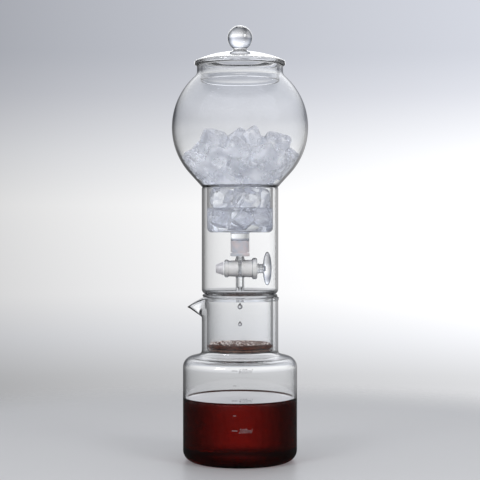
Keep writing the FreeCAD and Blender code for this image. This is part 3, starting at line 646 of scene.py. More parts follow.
coffee_bore = carafe_radius - carafe_wall
coffee_skin = outline([*liquid_surface(coffee_bore, coffee_level - meniscus), *carafe_inner(wetting)[2:]])
coffee = turned("brewed_coffee_liquid", coffee_skin, steps=160)
water_floor = reservoir_bottom + glass_wall
water_skin = outline([
    *liquid_surface(reservoir_bore, water_level - meniscus),
    (reservoir_bore + wetting, water_floor - wetting, 2.5 * MM + wetting),
    (socket_bore + wetting, water_floor - wetting, 1.2 * MM),
    (socket_bore + wetting, sleeve_high.z + 0.1 * MM),
    (0, sleeve_high.z + 0.1 * MM),
])
water = turned("melt_water_liquid", water_skin)

# %% [markdown]
# ## Ice
# Ice from a tray is a block with melted edges, dents and flat broken faces. One block is cut from a cube
# by random planes, its edges are bevelled, and a fractal subdivision roughens it. Each block gets its own
# seed. A lean tips the block, so that an edge or a corner points up.

# %% One block of ice
def ice_block(place, edge, lean, seed):
    """A worn, broken cube of this edge length, tipped about Y by this many degrees."""
    chance = random.Random(seed)
    bpy.ops.object.select_all(action="DESELECT")
    bpy.ops.mesh.primitive_cube_add(size=edge, location=(0, 0, 0))
    block = bpy.context.active_object
    block.name = f"ice_block_{seed}"
    bpy.ops.object.mode_set(mode="EDIT")
    for cut in range(5):
        normal = Vector([chance.uniform(-1, 1) for axis in range(3)]).normalized()
        bpy.ops.mesh.select_all(action="SELECT")
        bpy.ops.mesh.bisect(plane_co=normal * edge * chance.uniform(0.46, 0.6), plane_no=normal,
                            use_fill=True, clear_outer=True)
    bpy.ops.mesh.select_all(action="SELECT")
    bpy.ops.mesh.remove_doubles(threshold=edge * 0.03)
    bpy.ops.mesh.bevel(offset=edge * 0.09, segments=2, affect="EDGES")
    bpy.ops.mesh.select_all(action="SELECT")
    bpy.ops.mesh.subdivide(number_cuts=2, smoothness=0, fractal=0.1, seed=seed)
    bpy.ops.mesh.select_all(action="SELECT")
    bpy.ops.mesh.normals_make_consistent(inside=False)
    bpy.ops.object.mode_set(mode="OBJECT")
    spin = Matrix.Rotation(chance.uniform(-0.6, 0.6), 4, "Z")
    nod = Matrix.Rotation(chance.uniform(-0.4, 0.4), 4, "X")
    tip = Matrix.Rotation(math.radians(lean) + chance.uniform(-0.1, 0.1), 4, "Y")
    block.matrix_world = Matrix.Translation(place) @ tip @ nod @ spin
    return apply_place(block)


# %% [markdown]
# Wet ice has no air between it and the glass, and blocks that touch freeze together. So each heap is
# pressed against the inside of the glass, melted into one skin by a voxel remesh, and roughened a little.
# It is pressed a tenth of a millimetre into the glass, which makes the contact a wet one.

# %% Press and melt a heap
def globe_bore(height):
    """Inner radius of the globe at a height above the table."""
    up = height - globe_seat
    ball = globe_radius - glass_wall
    touch = ball_centre - ball * math.cos(math.radians(cone_angle))
    if up >= touch:
        return math.sqrt(max(ball ** 2 - (up - ball_centre) ** 2, 0))
    if up >= glass_wall:
        return cone_foot(glass_wall) + (up - glass_wall) / math.tan(math.radians(cone_angle))
    return reservoir_bore


def press_inside(pile, floor_height, clear):
    """Push every point of the ice inside the glass, or into it where clear is negative."""
    for vertex in pile.data.vertices:
        vertex.co.z = max(vertex.co.z, floor_height + clear)
        room = globe_bore(vertex.co.z) - clear
        reach = math.hypot(vertex.co.x, vertex.co.y)
        if reach > room:
            vertex.co.x *= room / reach
            vertex.co.y *= room / reach


dents = bpy.data.textures.new("melt_dents", "CLOUDS")
dents.noise_scale = 7 * MM
dents.noise_depth = 2


def pile_of_ice(name, blocks, floor_height, voxel):
    """Join blocks (x, y, z, edge in mm, lean in degrees) into one skin inside the glass."""
    made = [ice_block(Vector((x, y, z)) * MM, edge * MM, lean, seed)
            for seed, (x, y, z, edge, lean) in enumerate(blocks, len(name) * 100)]
    select_only(*made)
    bpy.ops.object.join()
    pile = bpy.context.active_object
    pile.name = name
    press_inside(pile, floor_height, 0.3 * MM)
    apply_modifier(pile, "REMESH", mode="VOXEL", voxel_size=voxel)
    apply_modifier(pile, "DISPLACE", texture=dents, texture_coords="GLOBAL", strength=1.4 * MM,
                   mid_level=0.5)
    apply_modifier(pile, "SMOOTH", factor=0.5, iterations=5)
    press_inside(pile, floor_height, -0.1 * MM)
    select_only(pile)
    bpy.ops.object.shade_smooth()
    print(f"{name}: {len(blocks)} blocks, {len(pile.data.polygons)} faces")
    return pile


# %% [markdown]
# The blocks that show on top of the heap are given one by one, as a stylist would place them: from left to
# right, then the rows in front and behind. The blocks deep inside only fill, so they go round in rings by
# chance.

# %% The heap in the globe and the ice in the reservoir
top_blocks = [
    (-44, -6, 271, 19, 35), (-37, 4, 281, 17, 40), (-22, -14, 289, 22, 20), (-10, -2, 285, 17, 25),
    (-1, 2, 293, 18, 42), (11, -5, 294.5, 17, 47), (24, 6, 286, 18, 30), (33, -8, 288.5, 21, 15),
    (44, -2, 276, 19, 35),
    (-20, -38, 275, 20, 20), (0, -40, 279, 21, 35), (19, -38, 277, 20, 15), (38, -28, 269, 20, 40),
    (-38, -26, 268, 18, 10), (-22, 26, 287, 22, 30), (2, 30, 289, 22, 10), (25, 30, 287, 22, 40),
    (0, 46, 280, 20, 25), (-38, 30, 272, 20, 15), (40, 24, 272, 20, 20),
]
heap_chance = random.Random(7)
deep_blocks = []
for count, reach, height in ((1, 0, 261), (6, 22, 261), (6, 20, 275), (11, 40, 268)):
    for place in range(count):
        angle = math.tau * (place + heap_chance.uniform(0, 0.4)) / count
        rise = heap_chance.uniform(-2, 2)
        edge = heap_chance.uniform(20, 24)
        lean = heap_chance.uniform(0, 45)
        deep_blocks.append((reach * math.cos(angle), reach * math.sin(angle), height + rise, edge, lean))
ice_heap = pile_of_ice("ice_heap", top_blocks + deep_blocks, globe_seat + glass_wall, 1.0 * MM)

reservoir_blocks = [
    (-15, -14, 222, 15, 10), (3, -17, 220, 14, 40), (17, -9, 222, 15, 15), (16, 12, 221, 16, 30),
    (-4, 17, 222, 16, 20), (-18, 6, 221, 14, 35), (-13, -15, 238, 19, 10), (8, -17, 238, 18, 35),
    (19, 0, 239, 19, 15), (9, 17, 238, 18, 5), (-12, 15, 238, 18, 25), (-20, 0, 239, 18, 15),
    (0, 0, 238, 18, 20),
]
reservoir_ice = pile_of_ice("reservoir_ice_blocks", reservoir_blocks, water_floor, 0.7 * MM)

# %% [markdown]
# ## Ground coffee
# The bed starts as a turned disc with a rounded bottom edge. A displacement with a fine cloud texture
# makes its surface grainy, and loose grains and small bubbles of gas are strewn on it. One grain is
# modelled from a low icosphere and copied, each copy with its own mesh, before all are joined.

# %% Bed of grounds
grounds_low, grounds_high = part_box("coffee_grounds")
bed_radius = cup_bore + 0.6 * MM
bed_top = grounds_high.z - 1.3 * MM
bed = turned("coffee_bed", outline([
    (0, grounds_low.z + 0.1 * MM),
    (bed_radius - 0.1 * MM, grounds_low.z + 0.1 * MM, 1.6 * MM),
    (bed_radius - 0.1 * MM, bed_top, 0.8 * MM),
    (0, bed_top + 0.3 * MM),
], run=0.8 * MM), steps=180)
clouds = bpy.data.textures.new("grain_clouds", "CLOUDS")
clouds.noise_scale = 1.3 * MM
clouds.noise_depth = 3
apply_modifier(bed, "DISPLACE", texture=clouds, texture_coords="GLOBAL", strength=0.9 * MM, mid_level=0.9)
print("bed faces:", len(bed.data.polygons))


# %% Loose grains and bubbles
bed_edge = 1.4 * MM


def strewn(name, source, count, seed, heights, sizes):
    """Copies of one small shape strewn over the bed, joined into one piece."""
    chance = random.Random(seed)
    copies = []
    for number in range(count):
        reach = (bed_radius - bed_edge) * math.sqrt(chance.random())
        angle = chance.uniform(0, math.tau)
        height = bed_top + chance.uniform(*heights) * MM
        copy = source.copy()
        copy.data = source.data.copy()
        bpy.context.scene.collection.objects.link(copy)
        copy.location = (reach * math.cos(angle), reach * math.sin(angle), height)
        copy.rotation_euler = [chance.uniform(0, math.tau) for axis in range(3)]
        copy.scale = [chance.uniform(*sizes) for axis in range(3)]
        copies.append(copy)
    bpy.data.objects.remove(source)
    select_only(*copies)
    bpy.ops.object.join()
    pile = bpy.context.active_object
    pile.name = name
    apply_place(pile)
    print(f"{name}: {count} copies")
    return pile


bpy.ops.mesh.primitive_ico_sphere_add(subdivisions=1, radius=0.45 * MM)
grain = bpy.context.active_object
bpy.ops.object.mode_set(mode="EDIT")
bpy.ops.mesh.select_all(action="SELECT")
bpy.ops.transform.vertex_random(offset=0.16 * MM, seed=3)
bpy.ops.object.mode_set(mode="OBJECT")
grains = strewn("coffee_grains", grain, 900, 11, (-0.1, 0.5), (0.7, 1.5))
bpy.ops.mesh.primitive_ico_sphere_add(subdivisions=2, radius=0.5 * MM)
bubble = bpy.context.active_object
bubbles = strewn("gas_bubbles", bubble, 420, 12, (0.1, 0.7), (0.5, 1.2))
select_only(bubbles)
bpy.ops.object.shade_smooth()

# %% [markdown]
# ## Volume marks
# The carafe has a plain dash for every 100 millilitres and a number at every second one. The numbers are
# text objects made into meshes, sloped as print on lab glass is. Dashes and numbers are then wrapped round
# the wall point by point.

# %% Marks on the carafe
mark_first = 34.8 * MM
mark_step = 13.15 * MM
dash_middle = -4.7 * MM
long_dash = 5.0 * MM
short_dash = 2.9 * MM
dash_width = 0.5 * MM
number_left = -1.5 * MM
number_drop = 2.1 * MM
NUMBER_STYLE = {"size": 5.9 * MM, "shear": 0.35, "space_character": 1.06, "offset": -0.07 * MM}
number_squeeze = 0.78
ink = 0.02 * MM
mark_radius = carafe_radius + 1.5 * ink


def wrapped(piece, left, height):
    """Bend a flat piece, drawn in the XY plane, round the front of the carafe's wall."""
    for vertex in piece.data.vertices:
        angle = (left + vertex.co.x) / mark_radius
        reach = mark_radius + vertex.co.z
        up = height + vertex.co.y
        vertex.co = (reach * math.sin(angle), -reach * math.cos(angle), up)
    return piece


def dash(length, left, height):
    """A short printed line."""
    bpy.ops.object.select_all(action="DESELECT")
    bpy.ops.mesh.primitive_cube_add(size=MM)
    line = bpy.context.active_object
    line.scale = (length / MM, dash_width / MM, 2 * ink / MM)
    apply_place(line)
    bpy.ops.object.mode_set(mode="EDIT")
    bpy.ops.mesh.select_all(action="SELECT")
    bpy.ops.mesh.subdivide(number_cuts=3)
    bpy.ops.object.mode_set(mode="OBJECT")
    return wrapped(line, left + length / 2, height)


marks = []
for number in range(2, 7):
    height = mark_first + (number - 2) * mark_step
    length = short_dash if number % 2 else long_dash
    marks.append(dash(length, dash_middle - length / 2, height))
    if number % 2:
        continue
    bpy.ops.object.text_add(location=(0, 0, 0))
    text = bpy.context.active_object
    text.data.body = f"{number}00ml"
    for name, value in NUMBER_STYLE.items():
        setattr(text.data, name, value)
    text.data.extrude = ink
    text.scale.x = number_squeeze
    select_only(text)
    bpy.ops.object.convert(target="MESH")
    marks.append(wrapped(apply_place(bpy.context.active_object), number_left, height - number_drop))
select_only(*marks)
bpy.ops.object.join()
volume_marks = bpy.context.active_object
volume_marks.name = "volume_marks"
print("marks:", len(volume_marks.data.vertices), "points")

# %% [markdown]
# ## Falling drops
# The valve lets the melt water out drop by drop. A falling drop is round below and drawn to a short tail
# above. Two drops are on their way to the coffee, the lower one smaller.

# %% Two drops under the drip tip
def falling_drop(name, radius, tail, height):
    """A drop of this radius at a height, with a round belly and a tail of this length."""
    belly = arc((0, 0), radius, -90, 35, 14)
    across, up = belly[-1]
    taper = [(across * (1 - share) ** 1.3, up + (tail - up) * share) for share in (0.25, 0.5, 0.75, 0.9)]
    return turned(name, outline([*belly, *taper, (0, tail)], run=0.6 * MM), (0, 0, height), steps=32)


upper_drop = falling_drop("upper_drop", 2.3 * MM, 4.7 * MM, 140.6 * MM)
lower_drop = falling_drop("lower_drop", 1.8 * MM, 3.2 * MM, 124.6 * MM)
select_only(upper_drop, lower_drop)
bpy.ops.object.join()
drops = upper_drop
drops.name = "falling_drops"

# %% [markdown]
# ## Materials
# A few helpers keep the node code short. `add_node` adds a node with its settings. What it is given for a
# socket is a constant, which goes straight onto the socket, or an output or a node, which is linked to it.

# %% Node helpers
def new_material(name):
    """An empty material: its node tree and its output node."""
    material = bpy.data.materials.new(name)
    material.use_nodes = True
    material.node_tree.nodes.clear()
    output = material.node_tree.nodes.new("ShaderNodeOutputMaterial")
    return material, material.node_tree, output


def add_node(tree, kind, sockets=None, **settings):
    """Add a shader node with settings. Its sockets, by name or number, get values, outputs or nodes."""
    made = tree.nodes.new(f"ShaderNode{kind}")
    for name, value in settings.items():
        setattr(made, name, value)
    for name, value in (sockets or {}).items():
        source = value.outputs[0] if isinstance(value, bpy.types.Node) else value
        if isinstance(source, bpy.types.NodeSocket):
            tree.links.new(source, made.inputs[name])
        else:
            made.inputs[name].default_value = source
    return made


def maths(tree, operation, *values):
    """A Math node on numbers or outputs, and its own output."""
    return add_node(tree, "Math", dict(enumerate(values)), operation=operation).outputs["Value"]


def ramp(tree, factor, stops):
    """The colour that a ramp through stops of (position, colour) gives for a factor."""
    made = add_node(tree, "ValToRGB", {"Fac": factor})
    elements = made.color_ramp.elements
    while len(elements) < len(stops):
        elements.new(1.0)
    for element, (position, colour) in zip(elements, stops):
        element.position = position
        element.color = (*colour, 1.0)
    return made.outputs["Color"]


def wear(piece, *materials):
    """Give a piece these materials and no others."""
    piece.data.materials.clear()
    for material in materials:
        piece.data.materials.append(material)


# %% [markdown]
# Two effects are shared by many finishes, so each is a node group. "Blown waves" is the slow unevenness
# of hand-worked glass, stretched along the axis in which it was drawn. "Patches" is a soft noise between
# two values, for anything that varies in dull and shiny spots.

# %% Shared groups
def group_of(name, inputs, output):
    """A node group with float inputs and one float output."""
    group = bpy.data.node_groups.new(name, "ShaderNodeTree")
    for label, value in inputs.items():
        socket = group.interface.new_socket(label, in_out="INPUT", socket_type="NodeSocketFloat")
        socket.default_value = value
    group.interface.new_socket(output, in_out="OUTPUT", socket_type="NodeSocketFloat")
    return group, group.nodes.new("NodeGroupInput"), group.nodes.new("NodeGroupOutput")


waves, waves_in, waves_out = group_of("Blown waves", {"Scale": 60.0}, "Height")
place = add_node(waves, "TexCoord")
stretch = add_node(waves, "Mapping", {"Vector": place.outputs["Object"], "Scale": (1, 1, 0.3)})
noise = add_node(waves, "TexNoise", {
    "Vector": stretch, "Scale": waves_in.outputs["Scale"], "Detail": 1.0, "Roughness": 0.4})
waves.links.new(noise.outputs["Fac"], waves_out.inputs["Height"])

patches, patches_in, patches_out = group_of("Patches", {"Scale": 200.0, "Low": 0.0, "High": 1.0}, "Value")
place = add_node(patches, "TexCoord")
noise = add_node(patches, "TexNoise", {
    "Vector": place.outputs["Object"], "Scale": patches_in.outputs["Scale"], "Detail": 4.0, "Roughness": 0.6})
spread = add_node(patches, "MapRange", {
    "Value": noise.outputs["Fac"], "From Min": 0.35, "From Max": 0.65,
    "To Min": patches_in.outputs["Low"], "To Max": patches_in.outputs["High"],
}, interpolation_type="SMOOTHSTEP")
patches.links.new(spread.outputs["Result"], patches_out.inputs["Value"])


def from_group(tree, group, **values):
    """Place a group in a material with its own values, and give its output."""
    return add_node(tree, "Group", values, node_tree=group).outputs[0]


def bumped(tree, height, depth, strength=1.0):
    """A normal from a height, at this depth in metres."""
    bump = add_node(tree, "Bump", {"Height": height, "Strength": strength, "Distance": depth})
    return bump.outputs["Normal"]


print("groups:", [group.name for group in bpy.data.node_groups])

# %% [markdown]
# ### Clear glass
# Glass is drawn by its edges. A ray that grazes a skin is mirrored, and a ray inside the wall that meets
# the inner skin too flatly is thrown back as well. The room is made dim for mirrored rays further down,
# so these edges draw themselves as two dark lines, one for each skin. Layer Weight's Facing deepens them
# with painted shade: each ramp darkens the base colour where a skin is seen edge-on, most of all in the
# knob, the handle, the worked glass and the drops.
# Glass against a liquid hardly mirrors, so the wetted skins have a material of their own with no gloss.
# Light must reach what stands behind the glass, so rays that look for a lamp, and rays that leave a matt
# surface, pass a Transparent shader.

# %% Glass materials
def let_light_in(tree, surface, shade, output):
    """Let rays that look for a lamp, or that leave a matt surface, pass straight through a skin."""
    through = add_node(tree, "BsdfTransparent", {"Color": (*shade, 1)})
    path = add_node(tree, "LightPath")
    passing = maths(tree, "MAXIMUM", path.outputs["Is Shadow Ray"], path.outputs["Is Diffuse Ray"])
    mix = add_node(tree, "MixShader", {0: passing, 1: surface, 2: through})
    tree.links.new(mix.outputs["Shader"], output.inputs["Surface"])


def clear_material(name, tint_and_edge_shade, ior, wave=60.0, depth=0.006 * MM, rough=(0.0, 0.02),
                   shade=(0.97, 0.97, 0.98), gloss=0.5):
    """A clear material: stops of its tint and painted edge shade, size and depth of its waves, roughness, the
    light it lets in.
    """
    material, tree, output = new_material(name)
    # The base colour darkens as a skin turns edge-on: painted edge shade for the dark lines at glass edges.
    facing = add_node(tree, "LayerWeight", {"Blend": 0.5})
    low, high = rough
    surface = add_node(tree, "BsdfPrincipled", {
        "Base Color": ramp(tree, facing.outputs["Facing"], tint_and_edge_shade),
        "Roughness": from_group(tree, patches, Scale=25.0, Low=low, High=high),
        "Normal": bumped(tree, from_group(tree, waves, Scale=wave), depth),
        "Transmission Weight": 1.0, "IOR": ior, "Specular IOR Level": gloss,
    })
    let_light_in(tree, surface, shade, output)
    return material, tree, output


GLASS = 1.47
# Each ramp below is the glass's own faint tint at Facing 0 and painted edge shade towards 1: the base colour
# darkens where a skin is seen edge-on.
GLASS_TINT_AND_EDGE_SHADE = [(0.0, (0.995, 0.998, 1.0)), (0.75, (0.98, 0.985, 0.99)), (0.9, (0.8, 0.81, 0.83)),
              (0.97, (0.4, 0.41, 0.43)), (1.0, (0.25, 0.26, 0.28))]
blown_glass = clear_material("blown_glass", GLASS_TINT_AND_EDGE_SHADE, GLASS, gloss=0.3)[0]
cup_glass = clear_material("cup_glass", GLASS_TINT_AND_EDGE_SHADE, GLASS, gloss=0.1)[0]
wet_glass = clear_material("wet_glass", GLASS_TINT_AND_EDGE_SHADE, GLASS, gloss=0.0)[0]
# The solid handle's edges are painted dark.
SOLID_TINT_AND_EDGE_SHADE = [(0.0, (0.99, 0.99, 1.0)), (0.18, (0.93, 0.94, 0.97)), (0.33, (0.42, 0.45, 0.52)),
              (0.5, (0.12, 0.14, 0.18)), (1.0, (0.04, 0.05, 0.07))]
solid_glass = clear_material("solid_glass", SOLID_TINT_AND_EDGE_SHADE, GLASS)[0]
LID_TINT_AND_EDGE_SHADE = [(0.0, (0.995, 0.998, 1.0)), (0.8, (0.98, 0.985, 0.99)), (1.0, (0.6, 0.61, 0.63))]
lid_glass = clear_material("lid_glass", LID_TINT_AND_EDGE_SHADE, GLASS)[0]
# The knob's rim is painted almost black, as shade at its edge.
KNOB_TINT_AND_EDGE_SHADE = [(0.0, (0.99, 0.99, 1.0)), (0.15, (0.93, 0.94, 0.96)), (0.3, (0.42, 0.44, 0.48)),
             (0.45, (0.13, 0.14, 0.16)), (0.7, (0.03, 0.035, 0.04)), (1.0, (0.01, 0.012, 0.015))]
knob_glass = clear_material("knob_glass", KNOB_TINT_AND_EDGE_SHADE, GLASS, gloss=0.15)[0]
# Worked glass is painted dark where it turns edge-on.
THICK_TINT_AND_EDGE_SHADE = [(0.0, (0.98, 0.985, 0.99)), (0.2, (0.9, 0.905, 0.91)), (0.4, (0.52, 0.53, 0.55)),
              (0.6, (0.22, 0.23, 0.25)), (1.0, (0.05, 0.055, 0.06))]
worked_glass = clear_material("flame_worked_glass", THICK_TINT_AND_EDGE_SHADE, GLASS, wave=220.0, depth=0.05 * MM)[0]
WATER = 1.33
WATER_TINT_AND_EDGE_SHADE = [(0.0, (0.97, 0.98, 0.99)), (1.0, (0.8, 0.82, 0.85))]
clear_water = clear_material("melt_water", WATER_TINT_AND_EDGE_SHADE, WATER, wave=90.0, depth=0.02 * MM, gloss=0.1)[0]
# The drops get a dark painted outline.
DROP_EDGE_SHADE = [(0.0, (1, 1, 1)), (0.12, (0.8, 0.8, 0.82)), (0.3, (0.1, 0.1, 0.12)), (1.0, (0.01, 0.01, 0.02))]
drop_water = clear_material("drop_water", DROP_EDGE_SHADE, WATER)[0]
print("materials so far:", len(bpy.data.materials))

# %% [markdown]
# ### Coffee
# Coffee is a clear liquid that soaks up light: blue and green are gone after a centimetre or two, and red
# glows through the middle only. The volume does this by itself; a ramp deepens it towards the sides with
# painted shade, which stands for the darker parts of a room that the glass bends the view to. The free
# surface is dark when it is seen from above, and at a flat angle its base colour turns as pale as the
# wall that it mirrors: a painted reflection. So it is a second material: a surface with this painted
# sheen, under a thin coat.

# %% Coffee materials
# Painted shade: the coffee's skin darkens as it turns edge-on, for the dark parts of the room seen there.
COFFEE_EDGE_SHADE = [(0.0, (1, 1, 1)), (0.016, (0.75, 0.7, 0.65)), (0.045, (0.45, 0.38, 0.35)),
               (0.09, (0.2, 0.16, 0.14)), (0.15, (0.07, 0.05, 0.04))]
# Dark brown is the coffee's own top; the white stop at flat angles is a painted reflection of the pale wall.
TOP_COLOUR_AND_PAINTED_SHEEN = [(0.3, (0.03, 0.012, 0.008)), (0.7, (0.06, 0.036, 0.03)), (0.84, (1.0, 0.995, 1.0))]
BREW = (0.81, 0.227, 0.0, 1)
BREW_DENSITY = 75.0


def soak_up(tree, output):
    """Fill a piece with coffee, which absorbs all but red."""
    soak = add_node(tree, "VolumeAbsorption", {"Color": BREW, "Density": BREW_DENSITY})
    tree.links.new(soak.outputs["Volume"], output.inputs["Volume"])


brewed, tree, output = clear_material("brewed_coffee", COFFEE_EDGE_SHADE, WATER, wave=40.0, depth=0.01 * MM,
                                      rough=(0.0, 0.01), shade=(0.5, 0.1, 0.05), gloss=0.0)
soak_up(tree, output)

coffee_top, tree, output = new_material("coffee_surface")
facing = add_node(tree, "LayerWeight", {"Blend": 0.5})
# The top's base colour turns white at flat angles: a painted sheen.
painted_sheen_surface = add_node(tree, "BsdfPrincipled", {
    "Base Color": ramp(tree, facing.outputs["Facing"], TOP_COLOUR_AND_PAINTED_SHEEN),
    "Roughness": from_group(tree, patches, Scale=60.0, Low=0.02, High=0.09),
    "Normal": bumped(tree, from_group(tree, waves, Scale=70.0), 0.05 * MM),
    "IOR": WATER, "Coat Weight": 0.2, "Coat Roughness": 0.02,
})
tree.links.new(painted_sheen_surface.outputs["BSDF"], output.inputs["Surface"])
soak_up(tree, output)

wear(coffee, brewed, coffee_top)
for face in coffee.data.polygons:
    face.material_index = int(face.normal.z > 0.5 and face.center.z > coffee_level - 3 * MM)
print("faces of the free surface:", sum(face.material_index for face in coffee.data.polygons))

# %% [markdown]
# ### Ice
# Tray ice is clear at its rim and white in its core, where air was trapped. One shader does both: mostly
# transmission, the rest a pale body, and a roughness that changes from wet and clear to frosted.

# %% Ice material
ICE = 1.31


def ice_material(name, clear_above, transmission, milky, bright):
    """Ice in patches of two colours, frosted below a height and smooth and wet above it."""
    material, tree, output = new_material(name)
    place = add_node(tree, "TexCoord")
    parts = add_node(tree, "SeparateXYZ", {"Vector": place.outputs["Object"]})
    frosted = add_node(tree, "MapRange", {
        "Value": parts.outputs["Z"], "From Min": clear_above - 6 * MM, "From Max": clear_above + 6 * MM,
        "To Min": 1.0, "To Max": 0.15,
    }, interpolation_type="SMOOTHSTEP")
    rough = from_group(tree, patches, Scale=80.0, Low=0.15, High=0.45)
    body = add_node(tree, "BsdfPrincipled", {
        "Base Color": ramp(tree, from_group(tree, patches, Scale=70.0), [(0.0, milky), (1.0, bright)]),
        "Roughness": maths(tree, "MULTIPLY", frosted.outputs["Result"], rough),
        "Normal": bumped(tree, from_group(tree, patches, Scale=120.0), 0.15 * MM, 0.35),
        "Transmission Weight": transmission, "IOR": ICE,
    })
    let_light_in(tree, body, (0.88, 0.9, 0.94), output)
    return material


heap_ice = ice_material("heaped_ice", 290 * MM, 0.74, (0.66, 0.67, 0.7), (0.86, 0.865, 0.88))
sunk_ice = ice_material("sunken_ice", 200 * MM, 0.88, (0.82, 0.83, 0.86), (0.95, 0.955, 0.965))
print("ice:", heap_ice.name, sunk_ice.name)

# %% [markdown]
# ### Grounds, ink, rubber, nylon, steel and paper
# The solid finishes share one builder: a colour ramp driven by patches of a given size, a range of
# roughness, and a bump. What makes each one itself is the scale of its patches.

# %% Solid finishes
def solid_material(name, dark, light, scale, rough, depth, **extras):
    """A solid finish: two colours in patches of this scale, a range of roughness, a bump of this depth."""
    material, tree, output = new_material(name)
    low, high = rough
    surface = add_node(tree, "BsdfPrincipled", {
        "Base Color": ramp(tree, from_group(tree, patches, Scale=scale), [(0.0, dark), (1.0, light)]),
        "Roughness": from_group(tree, patches, Scale=scale * 1.7, Low=low, High=high),
        "Normal": bumped(tree, from_group(tree, patches, Scale=scale * 2.3), depth, 0.6),
        **{key.replace("_", " "): value for key, value in extras.items()},
    })
    tree.links.new(surface.outputs["BSDF"], output.inputs["Surface"])
    return material


wet_grounds = solid_material("wet_grounds", (0.01, 0.003, 0.002), (0.1, 0.027, 0.012), 900.0,
                             (0.3, 0.6), 0.4 * MM, Specular_IOR_Level=0.15)
grain_brown = solid_material("coffee_grain", (0.012, 0.004, 0.003), (0.14, 0.048, 0.028), 500.0, (0.3, 0.6),
                             0.2 * MM, Specular_IOR_Level=0.15)
foam = solid_material("gas_bubble", (0.6, 0.46, 0.37), (0.98, 0.94, 0.9), 400.0, (0.08, 0.25), 0.05 * MM,
                      Coat_Weight=0.6)
# The marks are white print; their grey here is painted shade, for print that looks dark against the bright
# glass behind it.
white_ink_in_painted_shade = solid_material("white_ink_in_painted_shade", (0.15, 0.145, 0.15), (0.21, 0.2, 0.21), 700.0, (0.6, 0.8), 0.01 * MM)
grey_silicone = solid_material("grey_silicone", (0.4, 0.43, 0.47), (0.54, 0.47, 0.46), 90.0,
                               (0.3, 0.5), 0.02 * MM, IOR=1.41)
stained_silicone = solid_material("stained_silicone", (0.06, 0.025, 0.015), (0.2, 0.1, 0.065), 400.0,
                                  (0.25, 0.45), 0.02 * MM, Transmission_Weight=0.3, IOR=1.41)
grey_nylon = solid_material("grey_nylon", (0.42, 0.41, 0.42), (0.56, 0.55, 0.56), 260.0,
                            (0.25, 0.4), 0.03 * MM, IOR=1.5)
ground_glass = solid_material("ground_glass", (0.8, 0.785, 0.75), (0.94, 0.93, 0.89), 900.0,
                              (0.3, 0.45), 0.02 * MM, Transmission_Weight=0.35, IOR=GLASS)
white_washer = solid_material("white_washer", (0.78, 0.78, 0.76), (0.88, 0.88, 0.86), 240.0,
                              (0.3, 0.5), 0.02 * MM)
black_rubber = solid_material("black_rubber", (0.012, 0.012, 0.012), (0.035, 0.035, 0.035), 500.0,
                              (0.45, 0.7), 0.03 * MM)
steel = solid_material("stamped_steel", (0.5, 0.5, 0.5), (0.66, 0.66, 0.65), 60.0, (0.2, 0.36), 0.01 * MM,
                       Metallic=1.0)
filter_paper = solid_material("wet_filter_paper", (0.12, 0.06, 0.04), (0.3, 0.19, 0.13), 1500.0, (0.8, 0.95),
                              0.08 * MM)

# %% [markdown]
# ## Dress the pieces
# Each new piece is listed with the body that carries it, its finish of the record, the nodes of the
# imported model that it stands for and its materials. It wears its materials, hangs on its body and hides
# those nodes. The nodes that stay get their finish here too.

# %% Carry, finish and stand for
for piece, body, slot, nodes, materials in (
    (carafe, "carafe", "clear_glass", ["carafe"], [blown_glass, wet_glass]),
    (coffee, "carafe", "brewed_coffee", ["brewed_coffee"], None),
    (volume_marks, "carafe", "clear_glass", [], [white_ink_in_painted_shade]),
    (filter_cup, "filter_cup", "clear_glass", ["filter_cup"], [cup_glass]),
    (bed, "filter_cup", "coffee_grounds", ["coffee_grounds"], [wet_grounds]),
    (grains, "filter_cup", "coffee_grounds", [], [grain_brown]),
    (bubbles, "filter_cup", "coffee_grounds", [], [foam]),
    (tower_tube, "tower_tube", "clear_glass", ["tower_tube"], [blown_glass]),
    (ice_globe, "ice_globe", "clear_glass", ["ice_globe", "globe_reservoir", "valve_socket"],
     [blown_glass, wet_glass]),
    (sleeve, "ice_globe", "grey_silicone", ["valve_sleeve"], [grey_silicone]),
    (barrel, "ice_globe", "clear_glass", ["valve_barrel"], [worked_glass]),
    (ice_heap, "ice_globe", "ice", ["ice_cubes"], [heap_ice]),
    (reservoir_ice, "ice_globe", "ice", ["reservoir_ice"], [sunk_ice]),
    (water, "ice_globe", "melt_water", ["melt_water"], [clear_water]),
    (drops, "ice_globe", "melt_water", [], [drop_water]),
    (valve_key, "valve_key", "ground_glass", ["valve_plug"], [ground_glass, worked_glass]),
    (handle, "valve_key", "clear_glass", ["valve_handle"], [solid_glass]),
    (nut, "valve_key", "grey_nylon", ["retaining_nut"], [grey_nylon]),
    (lid, "lid", "clear_glass", ["lid_shell", "lid_knob"], [lid_glass, knob_glass]),
):
    if materials:
        wear(piece, *materials)
    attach(piece, body)
    if nodes:
        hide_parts(*nodes)
for name, finish in {
    "filter_gasket": stained_silicone, "filter_plate": steel, "paper_filter": filter_paper,
    "plug_washer": white_washer, "plug_o_ring": black_rubber,
}.items():
    wear(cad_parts[name], finish)
print("dressed")

# %% [markdown]
# Some faces wear a piece's second material: the key's groove and shaft, which aren't ground, and the knob.
# Where the carafe and the globe hold a liquid, the faces that look inwards, and the floor's, are wet.

# %% Second materials
for face in valve_key.data.polygons:
    face.material_index = int(face.center.x > cone_end or abs(face.center.x) < groove_half)
for face in lid.data.polygons:
    face.material_index = int(face.center.z > lid_seat + knob_seat + knob_flare)


def wet_inside(piece, level):
    """Give the inner skin below a liquid's level the second material."""
    for face in piece.data.polygons:
        middle = face.center
        inward = middle.x * face.normal.x + middle.y * face.normal.y < 0
        on_floor = face.normal.z > 0.5 and math.hypot(middle.x, middle.y) > MM
        face.material_index = int(middle.z < level and (inward or on_floor))


